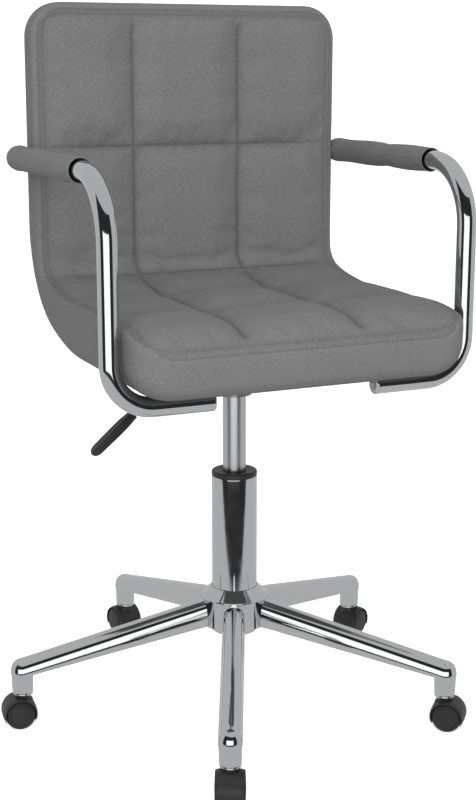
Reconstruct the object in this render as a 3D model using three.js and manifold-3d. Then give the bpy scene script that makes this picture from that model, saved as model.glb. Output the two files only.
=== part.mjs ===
// Swivel office chair with a padded one-piece seat and back, two bent tube arms, a gas lift
// and a five-legged base on twin-wheel casters. Millimetres, +Z up, the sitter faces -Y.
import * as THREE from "three";
import { mergeVertices } from "three/addons/utils/BufferGeometryUtils.js";
import Module from "manifold-3d";

const wasm = await Module();
wasm.setup();

// Shared clearances
const GAP = 0.3; // between pieces that touch on the real chair
const STEEL_WALL = 2;
const CUT = 5; // how far a cutting tool runs past the piece it cuts

// The column axis stands a little off the middle of the chair's footprint
const COLUMN_AT = new THREE.Vector2(14, -9.4);

// Five-legged base
const LEG_COUNT = 5;
const LEG_PITCH = (2 * Math.PI) / LEG_COUNT;
const BASE_YAW = THREE.MathUtils.degToRad(-115.2); // where the first leg points
const STEM_CIRCLE = 266; // radius of the circle the caster stems stand on
const HUB_RADIUS = 41;
const HUB_BOTTOM = 103;
const HUB_SHOULDER = 139;
const HUB_TOP = 151;
const LEG_HALF_WIDTH = 14.5;
const LEG_ROOT_TOP = 135;
const LEG_ROOT_BOTTOM = 103.5;
const LEG_TIP_TOP = 85;
const LEG_TIP_BOTTOM = 66;
const CROWN_DEPTH = 0.8; // depth of a leg's rounded top, as a share of its half width
const CROWN_PULL = 0.55; // how square the crown is: 0.55 is an ellipse
const SOCKET_BOTTOM = 40;
const SOCKET_RADIUS = 12.2;

// Column and gas lift
const COLUMN_RADIUS = 27.6;
const COLUMN_BORE = 25;
const COLUMN_BOTTOM = 93;
const COLUMN_FLOOR = 4; // thickness of the turned-in foot of the column
const COLLAR_BOTTOM = 292;
const COLLAR_TOP = 298;
const BUSH_LENGTH = 50;
const CYLINDER_RADIUS = 14;
const CYLINDER_BORE = 11.5;
const CYLINDER_BOTTOM = 203;
const CYLINDER_TOP = 410;
const CYLINDER_END = 5; // thickness of its two ends
const ROD_RADIUS = 5;
const ROD_TOP = 280;
const ROD_SHOULDER = 8;
const ROD_SHOULDER_HEIGHT = 3;
const ROD_FOOT = 6; // how far the rod comes out below the column
const CLIP_RADIUS = 11;
const CLIP_THICKNESS = 2;
const BEARING_HEIGHT = 5;
const PIN_RADIUS = 3;
const PIN_HEAD_RADIUS = 5;
const PIN_TOP = 421.5;
const PIN_HEAD = 4;
const PIN_REACH = 3; // how far the pin goes down inside the cylinder

// Seat mechanism: a hat-section plate with a socket for the gas lift
const CHANNEL_HALF_LENGTH = 60;
const CHANNEL_HALF_WIDTH = 30;
const PLATE_HALF_WIDTH = 62;
const WEB_BOTTOM = 412;
const SOCKET_DEPTH = 20;
const MECHANISM_SOCKET_RADIUS = 21;
const PLATE_BOLT_X = 42;
const PLATE_BOLT_Y = 46;
const BOLT_RADIUS = 3;
const BOLT_HEAD_RADIUS = 6;
const BOLT_HEAD = 4;
const BOLT_CLEARANCE = 0.35;

// Height lever
const LEVER_RADIUS = 4;
const LEVER_Z = 426;
const LEVER_INNER_END = 14;
const LEVER_BEND_X = -74;
const LEVER_NECK = new THREE.Vector2(-129, 380);
const LEVER_TIP = new THREE.Vector2(-181, 336);
const LEVER_IN_HANDLE = 45;
const HANDLE_LENGTH = 64;
const HANDLE_WIDTH = 16;
const HANDLE_THICKNESS = 11;
const HANDLE_FLARE = 19; // length over which the grip widens from its neck

// Seat and back: one L-shaped padded shell
const SEAT_HALF_WIDTH = 200;
const SEAT_FRONT = -205;
const SEAT_BOTTOM = 438.5;
const SEAT_TOP = 510;
const SEAT_FRONT_TOP = 490;
const BACK_FRONT = 130;
const BACK_REAR = 172;
const BACK_TOP = 849;
const OUTER_BEND = 165;
const INNER_BEND = 32;
const EDGE_ROUND = 12; // along the shell's long edges
const FRONT_CORNER = 38;
const TOP_CORNER = 32;
const UNDER_CORNER = 35; // rounds the seat's lower sides, inside the bends of the arms
const BOARD_THICKNESS = 10;
const BOARD_HALF_WIDTH = 163;
const BOARD_FRONT = -190;
const BOARD_TOP = 830;
const BATTEN = { inner: 148, outer: 184, front: 136, bottom: 646, top: 692 };

// Arms
const ARM_X = 214.4;
const ARM_FRONT_Y = -163;
const ARM_TUBE_RADIUS = 11;
const ARM_LOW_Z = 427;
const ARM_END_X = 98.5;
const ARM_LOW_BEND = 48;
const ARM_TOP_Z = 669;
const ARM_TOP_BEND = 70;
const ARM_REAR_Y = 152;
const ARM_BOLT_Y = 145;
const ARM_BOLT_INNER = 158;
const SLEEVE_RADIUS = 14;
const SLEEVE_FRONT = -84;
const SLEEVE_REAR = 158;
const TAB = { inner: 108, outer: 164, front: -161, rear: -112, thickness: 3 };
const TAB_BOLT_X = [120, 150];
const TAB_BOLT_Y = -128;
const PLUG_DEPTH = 12;
const PLUG_RIM = 1.5;

// Casters
const WHEEL_RADIUS = 18;
const WHEEL_INNER = 3.3;
const WHEEL_OUTER = 17;
const WHEEL_SIDES = 20;
const CASTER_TRAIL = 5;
const HOOD_INNER = 19;
const HOOD_OUTER = 21.3;
const HOOD_HALF_WIDTH = 16.5;
const RIB_HALF_WIDTH = 2.8;
const AXLE_RADIUS = 2.5;
const STEM_RADIUS = 5;
const STEM_TOP = 64;
const STEM_SEAT = 3; // how deep the stem sits in the hood
const BOSS_RADIUS = 9;
const HOOD_DROOP = THREE.MathUtils.degToRad(25); // how far the hood comes down past the axle

const finish = (colour, roughness, metalness) =>
  new THREE.MeshStandardMaterial({ color: colour, roughness, metalness });
const chrome = finish(0xaeb0b2, 0.12, 1);
const steel = finish(0x8b8d8f, 0.4, 1);
const blackPlastic = finish(0x2b2b2c, 0.5, 0);
const greyFabric = finish(0x757575, 0.95, 0);
const plywood = finish(0xc8a878, 0.7, 0);

const chair = new THREE.Group();
chair.position.set(COLUMN_AT.x, COLUMN_AT.y, 0);

// ---- helpers -------------------------------------------------------------------------

// A closed geometry as a solid, with its shared vertices merged.
function solid(geometry) {
  const plain = geometry.clone();
  plain.deleteAttribute("normal");
  plain.deleteAttribute("uv");
  const merged = mergeVertices(plain, 1e-4);
  return new wasm.Manifold(
    new wasm.Mesh({
      numProp: 3,
      vertProperties: merged.attributes.position.array,
      triVerts: new Uint32Array(merged.index.array),
    }),
  );
}

// A solid back as a geometry.
function surface(made) {
  const mesh = made.getMesh();
  return new THREE.BufferGeometry()
    .setAttribute("position", new THREE.BufferAttribute(mesh.vertProperties, 3))
    .setIndex(new THREE.BufferAttribute(mesh.triVerts, 1));
}

function piece(name, shape, material, parent = chair) {
  const geometry = shape.isBufferGeometry ? shape : surface(shape);
  const mesh = new THREE.Mesh(geometry, material);
  mesh.name = name;
  parent.add(mesh);
  return mesh;
}

function box(low, high) {
  const size = new THREE.Vector3(...high).sub(new THREE.Vector3(...low));
  const middle = new THREE.Vector3(...high).add(new THREE.Vector3(...low)).multiplyScalar(0.5);
  return new THREE.BoxGeometry(size.x, size.y, size.z).translate(middle.x, middle.y, middle.z);
}

// A profile of [radius, height] points turned about +Z.
function turned(profile, sides, closed = false) {
  const points = profile.map(([radius, height]) => new THREE.Vector2(radius, height));
  if (closed) {
    points.push(points[0].clone());
  }
  return new THREE.LatheGeometry(points, sides).rotateX(Math.PI / 2);
}

// A ring of rectangular section about +Z.
function ring(inner, outer, bottom, top, sides) {
  const profile = [
    [inner, bottom],
    [outer, bottom],
    [outer, top],
    [inner, top],
  ];
  return turned(profile, sides, true);
}

function cylinder(radius, bottom, top, sides) {
  const profile = [
    [0, bottom],
    [radius, bottom],
    [radius, top],
    [0, top],
  ];
  return turned(profile, sides);
}

// A shape drawn in Y and Z, as thick as from low to high along X.
function alongX(shape, low, high, curveSegments = 8) {
  const options = { depth: high - low, bevelEnabled: false, curveSegments };
  const geometry = new THREE.ExtrudeGeometry(shape, options);
  const axes = new THREE.Matrix4().makeBasis(
    new THREE.Vector3(0, 1, 0),
    new THREE.Vector3(0, 0, 1),
    new THREE.Vector3(1, 0, 0),
  );
  return geometry.applyMatrix4(axes).translate(low, 0, 0);
}

// A shape drawn in X and Z, as thick as from low to high along Y.
function alongY(shape, low, high, curveSegments = 8) {
  const options = { depth: high - low, bevelEnabled: false, curveSegments };
  const geometry = new THREE.ExtrudeGeometry(shape, options);
  return geometry.rotateX(Math.PI / 2).translate(0, high, 0);
}

// A shape drawn in X and Y, as thick as from low to high along Z.
function alongZ(shape, low, high, curveSegments = 8) {
  const options = { depth: high - low, bevelEnabled: false, curveSegments };
  return new THREE.ExtrudeGeometry(shape, options).translate(0, 0, low);
}

// A polyline through chosen stations, so a tube has a ring of vertices at each of them.
class Stations extends THREE.Curve {
  constructor(points) {
    super();
    this.points = points;
  }
  getUtoTmapping(u) {
    return u;
  }
  getPoint(t, target = new THREE.Vector3()) {
    const last = this.points.length - 1;
    const i = Math.min(Math.floor(t * last), last - 1);
    return target.copy(this.points[i]).lerp(this.points[i + 1], t * last - i);
  }
}

function arcPoints(centre, from, to, steps) {
  const points = [];
  for (let i = 0; i <= steps; i += 1) {
    const angle = (Math.PI / 2) * (i / steps);
    const point = centre.clone();
    point.addScaledVector(from, Math.cos(angle)).addScaledVector(to, Math.sin(angle));
    points.push(point);
  }
  return points;
}

function circleShape(radius, sides, hole = 0) {
  const round = (r) =>
    Array.from({ length: sides }, (_, i) => {
      const angle = (2 * Math.PI * i) / sides;
      return new THREE.Vector2(r * Math.cos(angle), r * Math.sin(angle));
    });
  const shape = new THREE.Shape(round(radius));
  if (hole > 0) {
    shape.holes.push(new THREE.Path(round(hole)));
  }
  return shape;
}

function tube(points, radius, sides, bore = 0) {
  const path = new Stations(points);
  const options = { steps: points.length - 1, extrudePath: path, bevelEnabled: false };
  return new THREE.ExtrudeGeometry(circleShape(radius, sides, bore), options);
}

// ---- base ----------------------------------------------------------------------------

function baseHub() {
  const bore = COLUMN_RADIUS + GAP;
  const profile = [
    [bore, HUB_BOTTOM],
    [HUB_RADIUS, HUB_BOTTOM],
    [HUB_RADIUS, HUB_SHOULDER],
    [bore + 1, HUB_TOP],
    [bore, HUB_TOP],
  ];
  return turned(profile, 30, true);
}

// The rounded channel section of a leg, wide side down, open below.
function legSection(halfWidth, height) {
  const shape = new THREE.Shape();
  const crown = halfWidth * CROWN_DEPTH;
  const pull = halfWidth * CROWN_PULL;
  shape.moveTo(-halfWidth, -height);
  shape.lineTo(halfWidth, -height);
  shape.lineTo(halfWidth, -crown);
  shape.bezierCurveTo(halfWidth, -crown / 3, pull, 0, 0, 0);
  shape.bezierCurveTo(-pull, 0, -halfWidth, -crown / 3, -halfWidth, -crown);
  return shape;
}

// A leg along +X: the section run down its sloping top, cut below and round its nose.
function baseLeg() {
  const nose = STEM_CIRCLE + LEG_HALF_WIDTH;
  const slope = (LEG_ROOT_TOP - LEG_TIP_TOP) / (STEM_CIRCLE - HUB_RADIUS);
  const rise = LEG_ROOT_TOP + slope * HUB_RADIUS;
  const sloped = (halfWidth, drop) => {
    const axes = new THREE.Matrix4().makeBasis(
      new THREE.Vector3(0, 1, 0),
      new THREE.Vector3(0, 0, 1),
      new THREE.Vector3(1, 0, -slope),
    );
    const options = { depth: nose + CUT, bevelEnabled: false, curveSegments: 5 };
    const run = new THREE.ExtrudeGeometry(legSection(halfWidth, LEG_ROOT_TOP), options);
    return solid(run.applyMatrix4(axes).translate(0, 0, rise - drop));
  };
  const side = new THREE.Shape([
    new THREE.Vector2(0, rise + CUT),
    new THREE.Vector2(0, LEG_ROOT_BOTTOM),
    new THREE.Vector2(HUB_RADIUS, LEG_ROOT_BOTTOM),
    new THREE.Vector2(STEM_CIRCLE - SOCKET_RADIUS, LEG_TIP_BOTTOM),
    new THREE.Vector2(nose, LEG_TIP_BOTTOM),
    new THREE.Vector2(nose, rise + CUT),
  ]);
  const plan = (halfWidth) => {
    const shape = new THREE.Shape();
    shape.moveTo(0, -halfWidth);
    shape.lineTo(STEM_CIRCLE, -halfWidth);
    shape.absarc(STEM_CIRCLE, 0, halfWidth, -Math.PI / 2, Math.PI / 2, false);
    shape.lineTo(0, halfWidth);
    return solid(alongZ(shape, 0, rise + CUT, 6));
  };
  const outer = sloped(LEG_HALF_WIDTH, 0)
    .intersect(solid(alongY(side, -LEG_HALF_WIDTH, LEG_HALF_WIDTH)))
    .intersect(plan(LEG_HALF_WIDTH));
  const hollowWidth = LEG_HALF_WIDTH - STEEL_WALL;
  const hollow = sloped(hollowWidth, STEEL_WALL).intersect(plan(hollowWidth));
  const post = (bottom, top) =>
    solid(cylinder(SOCKET_RADIUS, bottom, top, 20).translate(STEM_CIRCLE, 0, 0));
  const inLeg = post(LEG_TIP_BOTTOM, rise).intersect(outer);
  const socket = post(SOCKET_BOTTOM, LEG_TIP_BOTTOM + 1).add(inLeg);
  const bore = solid(
    cylinder(STEM_RADIUS + GAP, SOCKET_BOTTOM - CUT, STEM_TOP + GAP, 12).translate(STEM_CIRCLE, 0, 0),
  );
  const hubSpace = solid(cylinder(HUB_RADIUS + GAP, 0, 2 * HUB_TOP, 30));
  return outer.subtract(hollow).add(socket).subtract(bore).subtract(hubSpace);
}

// ---- column and gas lift ---------------------------------------------------------------

function columnTube() {
  const profile = [
    [ROD_SHOULDER + 1, COLUMN_BOTTOM],
    [COLUMN_RADIUS, COLUMN_BOTTOM],
    [COLUMN_RADIUS, COLLAR_BOTTOM - GAP],
    [COLUMN_BORE, COLLAR_BOTTOM - GAP],
    [COLUMN_BORE, COLUMN_BOTTOM + COLUMN_FLOOR],
    [ROD_SHOULDER + 1, COLUMN_BOTTOM + COLUMN_FLOOR],
  ];
  return turned(profile, 28, true);
}

function columnCollar() {
  const bore = CYLINDER_RADIUS + GAP;
  const profile = [
    [bore, COLLAR_BOTTOM - BUSH_LENGTH],
    [COLUMN_BORE - GAP, COLLAR_BOTTOM - BUSH_LENGTH],
    [COLUMN_BORE - GAP, COLLAR_BOTTOM],
    [COLUMN_RADIUS, COLLAR_BOTTOM],
    [COLUMN_RADIUS, COLLAR_TOP - 1],
    [COLUMN_RADIUS - 1, COLLAR_TOP],
    [bore, COLLAR_TOP],
  ];
  return turned(profile, 28, true);
}

const BEARING_BOTTOM = COLUMN_BOTTOM + COLUMN_FLOOR + GAP;

function thrustBearing() {
  return ring(ROD_RADIUS + 1, 2 * ROD_SHOULDER, BEARING_BOTTOM, BEARING_BOTTOM + BEARING_HEIGHT, 20);
}

function pistonRod() {
  const foot = COLUMN_BOTTOM - ROD_FOOT;
  const shoulder = BEARING_BOTTOM + BEARING_HEIGHT + GAP;
  const profile = [
    [0, foot],
    [ROD_RADIUS, foot],
    [ROD_RADIUS, shoulder],
    [ROD_SHOULDER, shoulder],
    [ROD_SHOULDER, shoulder + ROD_SHOULDER_HEIGHT],
    [ROD_RADIUS, shoulder + ROD_SHOULDER_HEIGHT],
    [ROD_RADIUS, ROD_TOP],
    [0, ROD_TOP],
  ];
  return turned(profile, 16);
}

function rodClip() {
  const top = COLUMN_BOTTOM - 1;
  return ring(ROD_RADIUS + GAP, CLIP_RADIUS, top - CLIP_THICKNESS, top, 16);
}

function gasCylinder() {
  const profile = [
    [ROD_RADIUS + GAP, CYLINDER_BOTTOM],
    [CYLINDER_RADIUS - 1, CYLINDER_BOTTOM],
    [CYLINDER_RADIUS, CYLINDER_BOTTOM + 1],
    [CYLINDER_RADIUS, CYLINDER_TOP],
    [PIN_RADIUS + GAP, CYLINDER_TOP],
    [PIN_RADIUS + GAP, CYLINDER_TOP - CYLINDER_END],
    [CYLINDER_BORE, CYLINDER_TOP - CYLINDER_END],
    [CYLINDER_BORE, CYLINDER_BOTTOM + CYLINDER_END],
    [ROD_RADIUS + GAP, CYLINDER_BOTTOM + CYLINDER_END],
  ];
  return turned(profile, 24, true);
}

function releasePin() {
  const head = PIN_TOP - PIN_HEAD;
  const foot = CYLINDER_TOP - CYLINDER_END - PIN_REACH;
  const profile = [
    [0, foot],
    [PIN_RADIUS, foot],
    [PIN_RADIUS, head],
    [PIN_HEAD_RADIUS, head],
    [PIN_HEAD_RADIUS, PIN_TOP],
    [0, PIN_TOP],
  ];
  return turned(profile, 16);
}

// ---- seat mechanism --------------------------------------------------------------------

const PLATE_TOP = SEAT_BOTTOM - GAP;
const PLATE_STEEL = 3;

function mountPlate() {
  const flangeBottom = PLATE_TOP - PLATE_STEEL;
  const inside = CHANNEL_HALF_WIDTH - PLATE_STEEL;
  const hat = new THREE.Shape([
    new THREE.Vector2(-PLATE_HALF_WIDTH, flangeBottom),
    new THREE.Vector2(-CHANNEL_HALF_WIDTH, flangeBottom),
    new THREE.Vector2(-CHANNEL_HALF_WIDTH, WEB_BOTTOM),
    new THREE.Vector2(CHANNEL_HALF_WIDTH, WEB_BOTTOM),
    new THREE.Vector2(CHANNEL_HALF_WIDTH, flangeBottom),
    new THREE.Vector2(PLATE_HALF_WIDTH, flangeBottom),
    new THREE.Vector2(PLATE_HALF_WIDTH, PLATE_TOP),
    new THREE.Vector2(inside, PLATE_TOP),
    new THREE.Vector2(inside, WEB_BOTTOM + PLATE_STEEL),
    new THREE.Vector2(-inside, WEB_BOTTOM + PLATE_STEEL),
    new THREE.Vector2(-inside, PLATE_TOP),
    new THREE.Vector2(-PLATE_HALF_WIDTH, PLATE_TOP),
  ]);
  const lip = box(
    [-CHANNEL_HALF_LENGTH, -inside - 1, WEB_BOTTOM + 1],
    [-CHANNEL_HALF_LENGTH + PLATE_STEEL, inside + 1, flangeBottom],
  );
  const leverHole = cylinder(LEVER_RADIUS + 1, -CUT, CUT, 12)
    .rotateY(Math.PI / 2)
    .translate(-CHANNEL_HALF_LENGTH, 0, LEVER_Z);
  const socketBottom = WEB_BOTTOM - SOCKET_DEPTH;
  let plate = solid(alongX(hat, -CHANNEL_HALF_LENGTH, CHANNEL_HALF_LENGTH))
    .add(solid(lip))
    .add(solid(cylinder(MECHANISM_SOCKET_RADIUS, socketBottom, WEB_BOTTOM + 1, 24)))
    .subtract(solid(leverHole))
    .subtract(solid(cylinder(CYLINDER_RADIUS + GAP, socketBottom - CUT, CYLINDER_TOP + GAP, 24)))
    .subtract(solid(cylinder(PIN_HEAD_RADIUS + 1, socketBottom, PLATE_TOP, 16)));
  for (const [x, y] of plateBoltPlaces()) {
    const hole = cylinder(BOLT_RADIUS + BOLT_CLEARANCE, flangeBottom - CUT, PLATE_TOP + CUT, 12);
    plate = plate.subtract(solid(hole.translate(x, y, 0)));
  }
  return plate;
}

function plateBoltPlaces() {
  return [
    [-PLATE_BOLT_X, -PLATE_BOLT_Y],
    [PLATE_BOLT_X, -PLATE_BOLT_Y],
    [-PLATE_BOLT_X, PLATE_BOLT_Y],
    [PLATE_BOLT_X, PLATE_BOLT_Y],
  ];
}

const BOLT_REACH = SEAT_BOTTOM + 8; // how far a bolt goes up into the board

// A bolt from below, its head under a steel strip whose lower face is at height under.
function seatBolt(x, y, under) {
  const top = under - GAP;
  const profile = [
    [0, top - BOLT_HEAD],
    [BOLT_HEAD_RADIUS - 1, top - BOLT_HEAD],
    [BOLT_HEAD_RADIUS, top - BOLT_HEAD + 1],
    [BOLT_HEAD_RADIUS, top],
    [BOLT_RADIUS, top],
    [BOLT_RADIUS, BOLT_REACH],
    [0, BOLT_REACH],
  ];
  return turned(profile, 12).translate(x, y, 0);
}

const leverDirection = LEVER_TIP.clone().sub(LEVER_NECK).normalize();

function leverRod() {
  const deep = LEVER_NECK.clone().addScaledVector(leverDirection, LEVER_IN_HANDLE);
  const bendRun = 10;
  const points = [
    new THREE.Vector3(LEVER_INNER_END, 0, LEVER_Z),
    new THREE.Vector3(LEVER_BEND_X + bendRun, 0, LEVER_Z),
    new THREE.Vector3(LEVER_BEND_X, 0, LEVER_Z - 2),
    new THREE.Vector3(LEVER_BEND_X - bendRun, 0, LEVER_Z - 7.5),
    new THREE.Vector3(LEVER_NECK.x, 0, LEVER_NECK.y),
    new THREE.Vector3(deep.x, 0, deep.y),
  ];
  return tube(points, LEVER_RADIUS, 10);
}

// The paddle grip, drawn along +X from its neck and then turned down the lever.
function leverHandle() {
  const half = HANDLE_WIDTH / 2;
  const neck = LEVER_RADIUS + 2;
  const outline = new THREE.Shape();
  outline.moveTo(0, -neck);
  outline.lineTo(HANDLE_FLARE, -half);
  outline.lineTo(HANDLE_LENGTH - half, -half);
  outline.absarc(HANDLE_LENGTH - half, 0, half, -Math.PI / 2, Math.PI / 2, false);
  outline.lineTo(HANDLE_FLARE, half);
  outline.lineTo(0, neck);
  const grip = alongZ(outline, -HANDLE_THICKNESS / 2, HANDLE_THICKNESS / 2, 5);
  const bore = cylinder(LEVER_RADIUS + GAP, -CUT, LEVER_IN_HANDLE + GAP, 10).rotateY(Math.PI / 2);
  const handle = surface(solid(grip).subtract(solid(bore)));
  const turn = Math.atan2(-leverDirection.y, leverDirection.x);
  return handle.rotateY(turn).translate(LEVER_NECK.x, 0, LEVER_NECK.y);
}

// ---- seat and back ---------------------------------------------------------------------

// The side outline of the padded shell, in Y and Z.
function shellOutline() {
  const round = EDGE_ROUND;
  const shape = new THREE.Shape();
  shape.moveTo(SEAT_FRONT + round, SEAT_BOTTOM);
  shape.lineTo(BACK_REAR - OUTER_BEND, SEAT_BOTTOM);
  shape.absarc(BACK_REAR - OUTER_BEND, SEAT_BOTTOM + OUTER_BEND, OUTER_BEND, -Math.PI / 2, 0, false);
  shape.lineTo(BACK_REAR, BACK_TOP - round);
  shape.absarc(BACK_REAR - round, BACK_TOP - round, round, 0, Math.PI / 2, false);
  shape.lineTo(BACK_FRONT + round, BACK_TOP);
  shape.absarc(BACK_FRONT + round, BACK_TOP - round, round, Math.PI / 2, Math.PI, false);
  shape.lineTo(BACK_FRONT, SEAT_TOP + INNER_BEND);
  shape.absarc(BACK_FRONT - INNER_BEND, SEAT_TOP + INNER_BEND, INNER_BEND, 0, -Math.PI / 2, true);
  shape.lineTo(SEAT_FRONT + 60, SEAT_TOP);
  shape.quadraticCurveTo(SEAT_FRONT + 10, SEAT_TOP, SEAT_FRONT, SEAT_FRONT_TOP);
  shape.lineTo(SEAT_FRONT, SEAT_BOTTOM + round);
  shape.absarc(SEAT_FRONT + round, SEAT_BOTTOM + round, round, Math.PI, 1.5 * Math.PI, false);
  return shape;
}

// The bent board's side outline, flush with the shell's underside and rear, grown by spare.
function boardOutline(spare) {
  const inner = OUTER_BEND - BOARD_THICKNESS - spare;
  const middle = new THREE.Vector2(BACK_REAR - OUTER_BEND, SEAT_BOTTOM + OUTER_BEND);
  const outer = OUTER_BEND + spare;
  const shape = new THREE.Shape();
  shape.moveTo(BOARD_FRONT - spare, SEAT_BOTTOM - spare);
  shape.lineTo(middle.x, SEAT_BOTTOM - spare);
  shape.absarc(middle.x, middle.y, outer, -Math.PI / 2, 0, false);
  shape.lineTo(BACK_REAR + spare, BOARD_TOP + spare);
  shape.lineTo(BACK_REAR - BOARD_THICKNESS - spare, BOARD_TOP + spare);
  shape.lineTo(BACK_REAR - BOARD_THICKNESS - spare, middle.y);
  shape.absarc(middle.x, middle.y, inner, 0, -Math.PI / 2, true);
  shape.lineTo(BOARD_FRONT - spare, SEAT_BOTTOM + BOARD_THICKNESS + spare);
  return shape;
}

function board(spare) {
  const half = BOARD_HALF_WIDTH + spare;
  const low = [BATTEN.inner - spare, BATTEN.front - spare, BATTEN.bottom - spare];
  const high = [BATTEN.outer + spare, BACK_REAR - BOARD_THICKNESS + 1, BATTEN.top + spare];
  const batten = solid(box(low, high));
  return solid(alongX(boardOutline(spare), -half, half, 10))
    .add(batten)
    .add(batten.mirror([1, 0, 0]));
}

// The way of the screw that holds an armrest to the back, along +X.
function armBoltHole(radius, inner, outer) {
  return cylinder(radius, inner, outer, 12).rotateY(Math.PI / 2).translate(0, ARM_BOLT_Y, ARM_TOP_Z);
}

// Cuts the same hole at +X and at -X.
function cutBothSides(made, hole) {
  const cutter = solid(hole);
  return made.subtract(cutter).subtract(cutter.mirror([1, 0, 0]));
}

function seatBoard() {
  let made = board(0);
  const radius = BOLT_RADIUS + BOLT_CLEARANCE;
  const tabBolts = [-1, 1].flatMap((side) => TAB_BOLT_X.map((x) => [side * x, TAB_BOLT_Y]));
  for (const [x, y] of [...plateBoltPlaces(), ...tabBolts]) {
    const hole = cylinder(radius, SEAT_BOTTOM - CUT, BOLT_REACH + GAP, 12);
    made = made.subtract(solid(hole.translate(x, y, 0)));
  }
  return cutBothSides(made, armBoltHole(radius, ARM_BOLT_INNER - 1, ARM_X));
}

function upholstery() {
  const plan = new THREE.Shape();
  const rear = BACK_REAR + CUT;
  plan.moveTo(-SEAT_HALF_WIDTH + FRONT_CORNER, SEAT_FRONT);
  plan.lineTo(SEAT_HALF_WIDTH - FRONT_CORNER, SEAT_FRONT);
  const cornerX = SEAT_HALF_WIDTH - FRONT_CORNER;
  const cornerY = SEAT_FRONT + FRONT_CORNER;
  plan.absarc(cornerX, cornerY, FRONT_CORNER, -Math.PI / 2, 0, false);
  plan.lineTo(SEAT_HALF_WIDTH, rear);
  plan.lineTo(-SEAT_HALF_WIDTH, rear);
  plan.lineTo(-SEAT_HALF_WIDTH, cornerY);
  plan.absarc(-cornerX, cornerY, FRONT_CORNER, Math.PI, 1.5 * Math.PI, false);
  const face = new THREE.Shape();
  const lowX = SEAT_HALF_WIDTH - UNDER_CORNER;
  const lowZ = SEAT_BOTTOM + UNDER_CORNER;
  face.moveTo(-lowX, SEAT_BOTTOM);
  face.lineTo(lowX, SEAT_BOTTOM);
  face.absarc(lowX, lowZ, UNDER_CORNER, -Math.PI / 2, 0, false);
  face.lineTo(SEAT_HALF_WIDTH, BACK_TOP - TOP_CORNER);
  const topX = SEAT_HALF_WIDTH - TOP_CORNER;
  face.absarc(topX, BACK_TOP - TOP_CORNER, TOP_CORNER, 0, Math.PI / 2, false);
  face.lineTo(-topX, BACK_TOP);
  face.absarc(-topX, BACK_TOP - TOP_CORNER, TOP_CORNER, Math.PI / 2, Math.PI, false);
  face.lineTo(-SEAT_HALF_WIDTH, lowZ);
  face.absarc(-lowX, lowZ, UNDER_CORNER, Math.PI, 1.5 * Math.PI, false);
  const made = solid(alongX(shellOutline(), -SEAT_HALF_WIDTH, SEAT_HALF_WIDTH))
    .intersect(solid(alongZ(plan, 0, BACK_TOP + CUT, 5)))
    .intersect(solid(alongY(face, SEAT_FRONT - CUT, rear, 5)))
    .subtract(board(GAP));
  return cutBothSides(made, armBoltHole(BOLT_RADIUS + BOLT_CLEARANCE, BATTEN.inner, ARM_X));
}

// ---- arms ------------------------------------------------------------------------------

// The right-hand arm's centreline, from its end under the seat up and back to the armrest.
function armPath() {
  const up = new THREE.Vector3(0, 0, 1);
  const down = new THREE.Vector3(0, 0, -1);
  const out = new THREE.Vector3(1, 0, 0);
  const forward = new THREE.Vector3(0, -1, 0);
  const low = new THREE.Vector3(ARM_X - ARM_LOW_BEND, ARM_FRONT_Y, ARM_LOW_Z + ARM_LOW_BEND);
  const high = new THREE.Vector3(ARM_X, ARM_FRONT_Y + ARM_TOP_BEND, ARM_TOP_Z - ARM_TOP_BEND);
  const scaled = (v, s) => v.clone().multiplyScalar(s);
  return [
    new THREE.Vector3(ARM_END_X, ARM_FRONT_Y, ARM_LOW_Z),
    ...arcPoints(low, scaled(down, ARM_LOW_BEND), scaled(out, ARM_LOW_BEND), 6),
    ...arcPoints(high, scaled(forward, ARM_TOP_BEND), scaled(up, ARM_TOP_BEND), 6),
    new THREE.Vector3(ARM_X, ARM_REAR_Y, ARM_TOP_Z),
  ];
}

// The bent tube with the steel tab welded behind its lower run.
function armTube() {
  const bore = ARM_TUBE_RADIUS - STEEL_WALL;
  const tabLow = [TAB.inner, TAB.front, PLATE_TOP - TAB.thickness];
  const tab = solid(box(tabLow, [TAB.outer, TAB.rear, PLATE_TOP]));
  const inside = solid(tube(armPath(), bore, 12));
  let made = solid(tube(armPath(), ARM_TUBE_RADIUS, 12)).add(tab).subtract(inside);
  for (const x of TAB_BOLT_X) {
    const hole = cylinder(BOLT_RADIUS + BOLT_CLEARANCE, SEAT_BOTTOM - 30, SEAT_BOTTOM + 30, 12);
    made = made.subtract(solid(hole.translate(x, TAB_BOLT_Y, 0)));
  }
  return made.subtract(solid(armBoltHole(BOLT_RADIUS + BOLT_CLEARANCE, SEAT_HALF_WIDTH, ARM_X)));
}

function armSleeve() {
  const inner = ARM_TUBE_RADIUS + GAP;
  const tip = 6;
  const profile = [
    [0, ARM_REAR_Y + GAP],
    [inner, ARM_REAR_Y + GAP],
    [inner, SLEEVE_FRONT],
    [SLEEVE_RADIUS - 1, SLEEVE_FRONT],
    [SLEEVE_RADIUS, SLEEVE_FRONT + 2],
    [SLEEVE_RADIUS, SLEEVE_REAR - tip],
    [SLEEVE_RADIUS * 0.8, SLEEVE_REAR - tip / 4],
    [0, SLEEVE_REAR],
  ];
  const along = turned(profile, 16).rotateX(-Math.PI / 2).translate(ARM_X, 0, ARM_TOP_Z);
  const hole = armBoltHole(BOLT_RADIUS + BOLT_CLEARANCE, SEAT_HALF_WIDTH - CUT, ARM_X);
  return solid(along).subtract(solid(hole));
}

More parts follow.
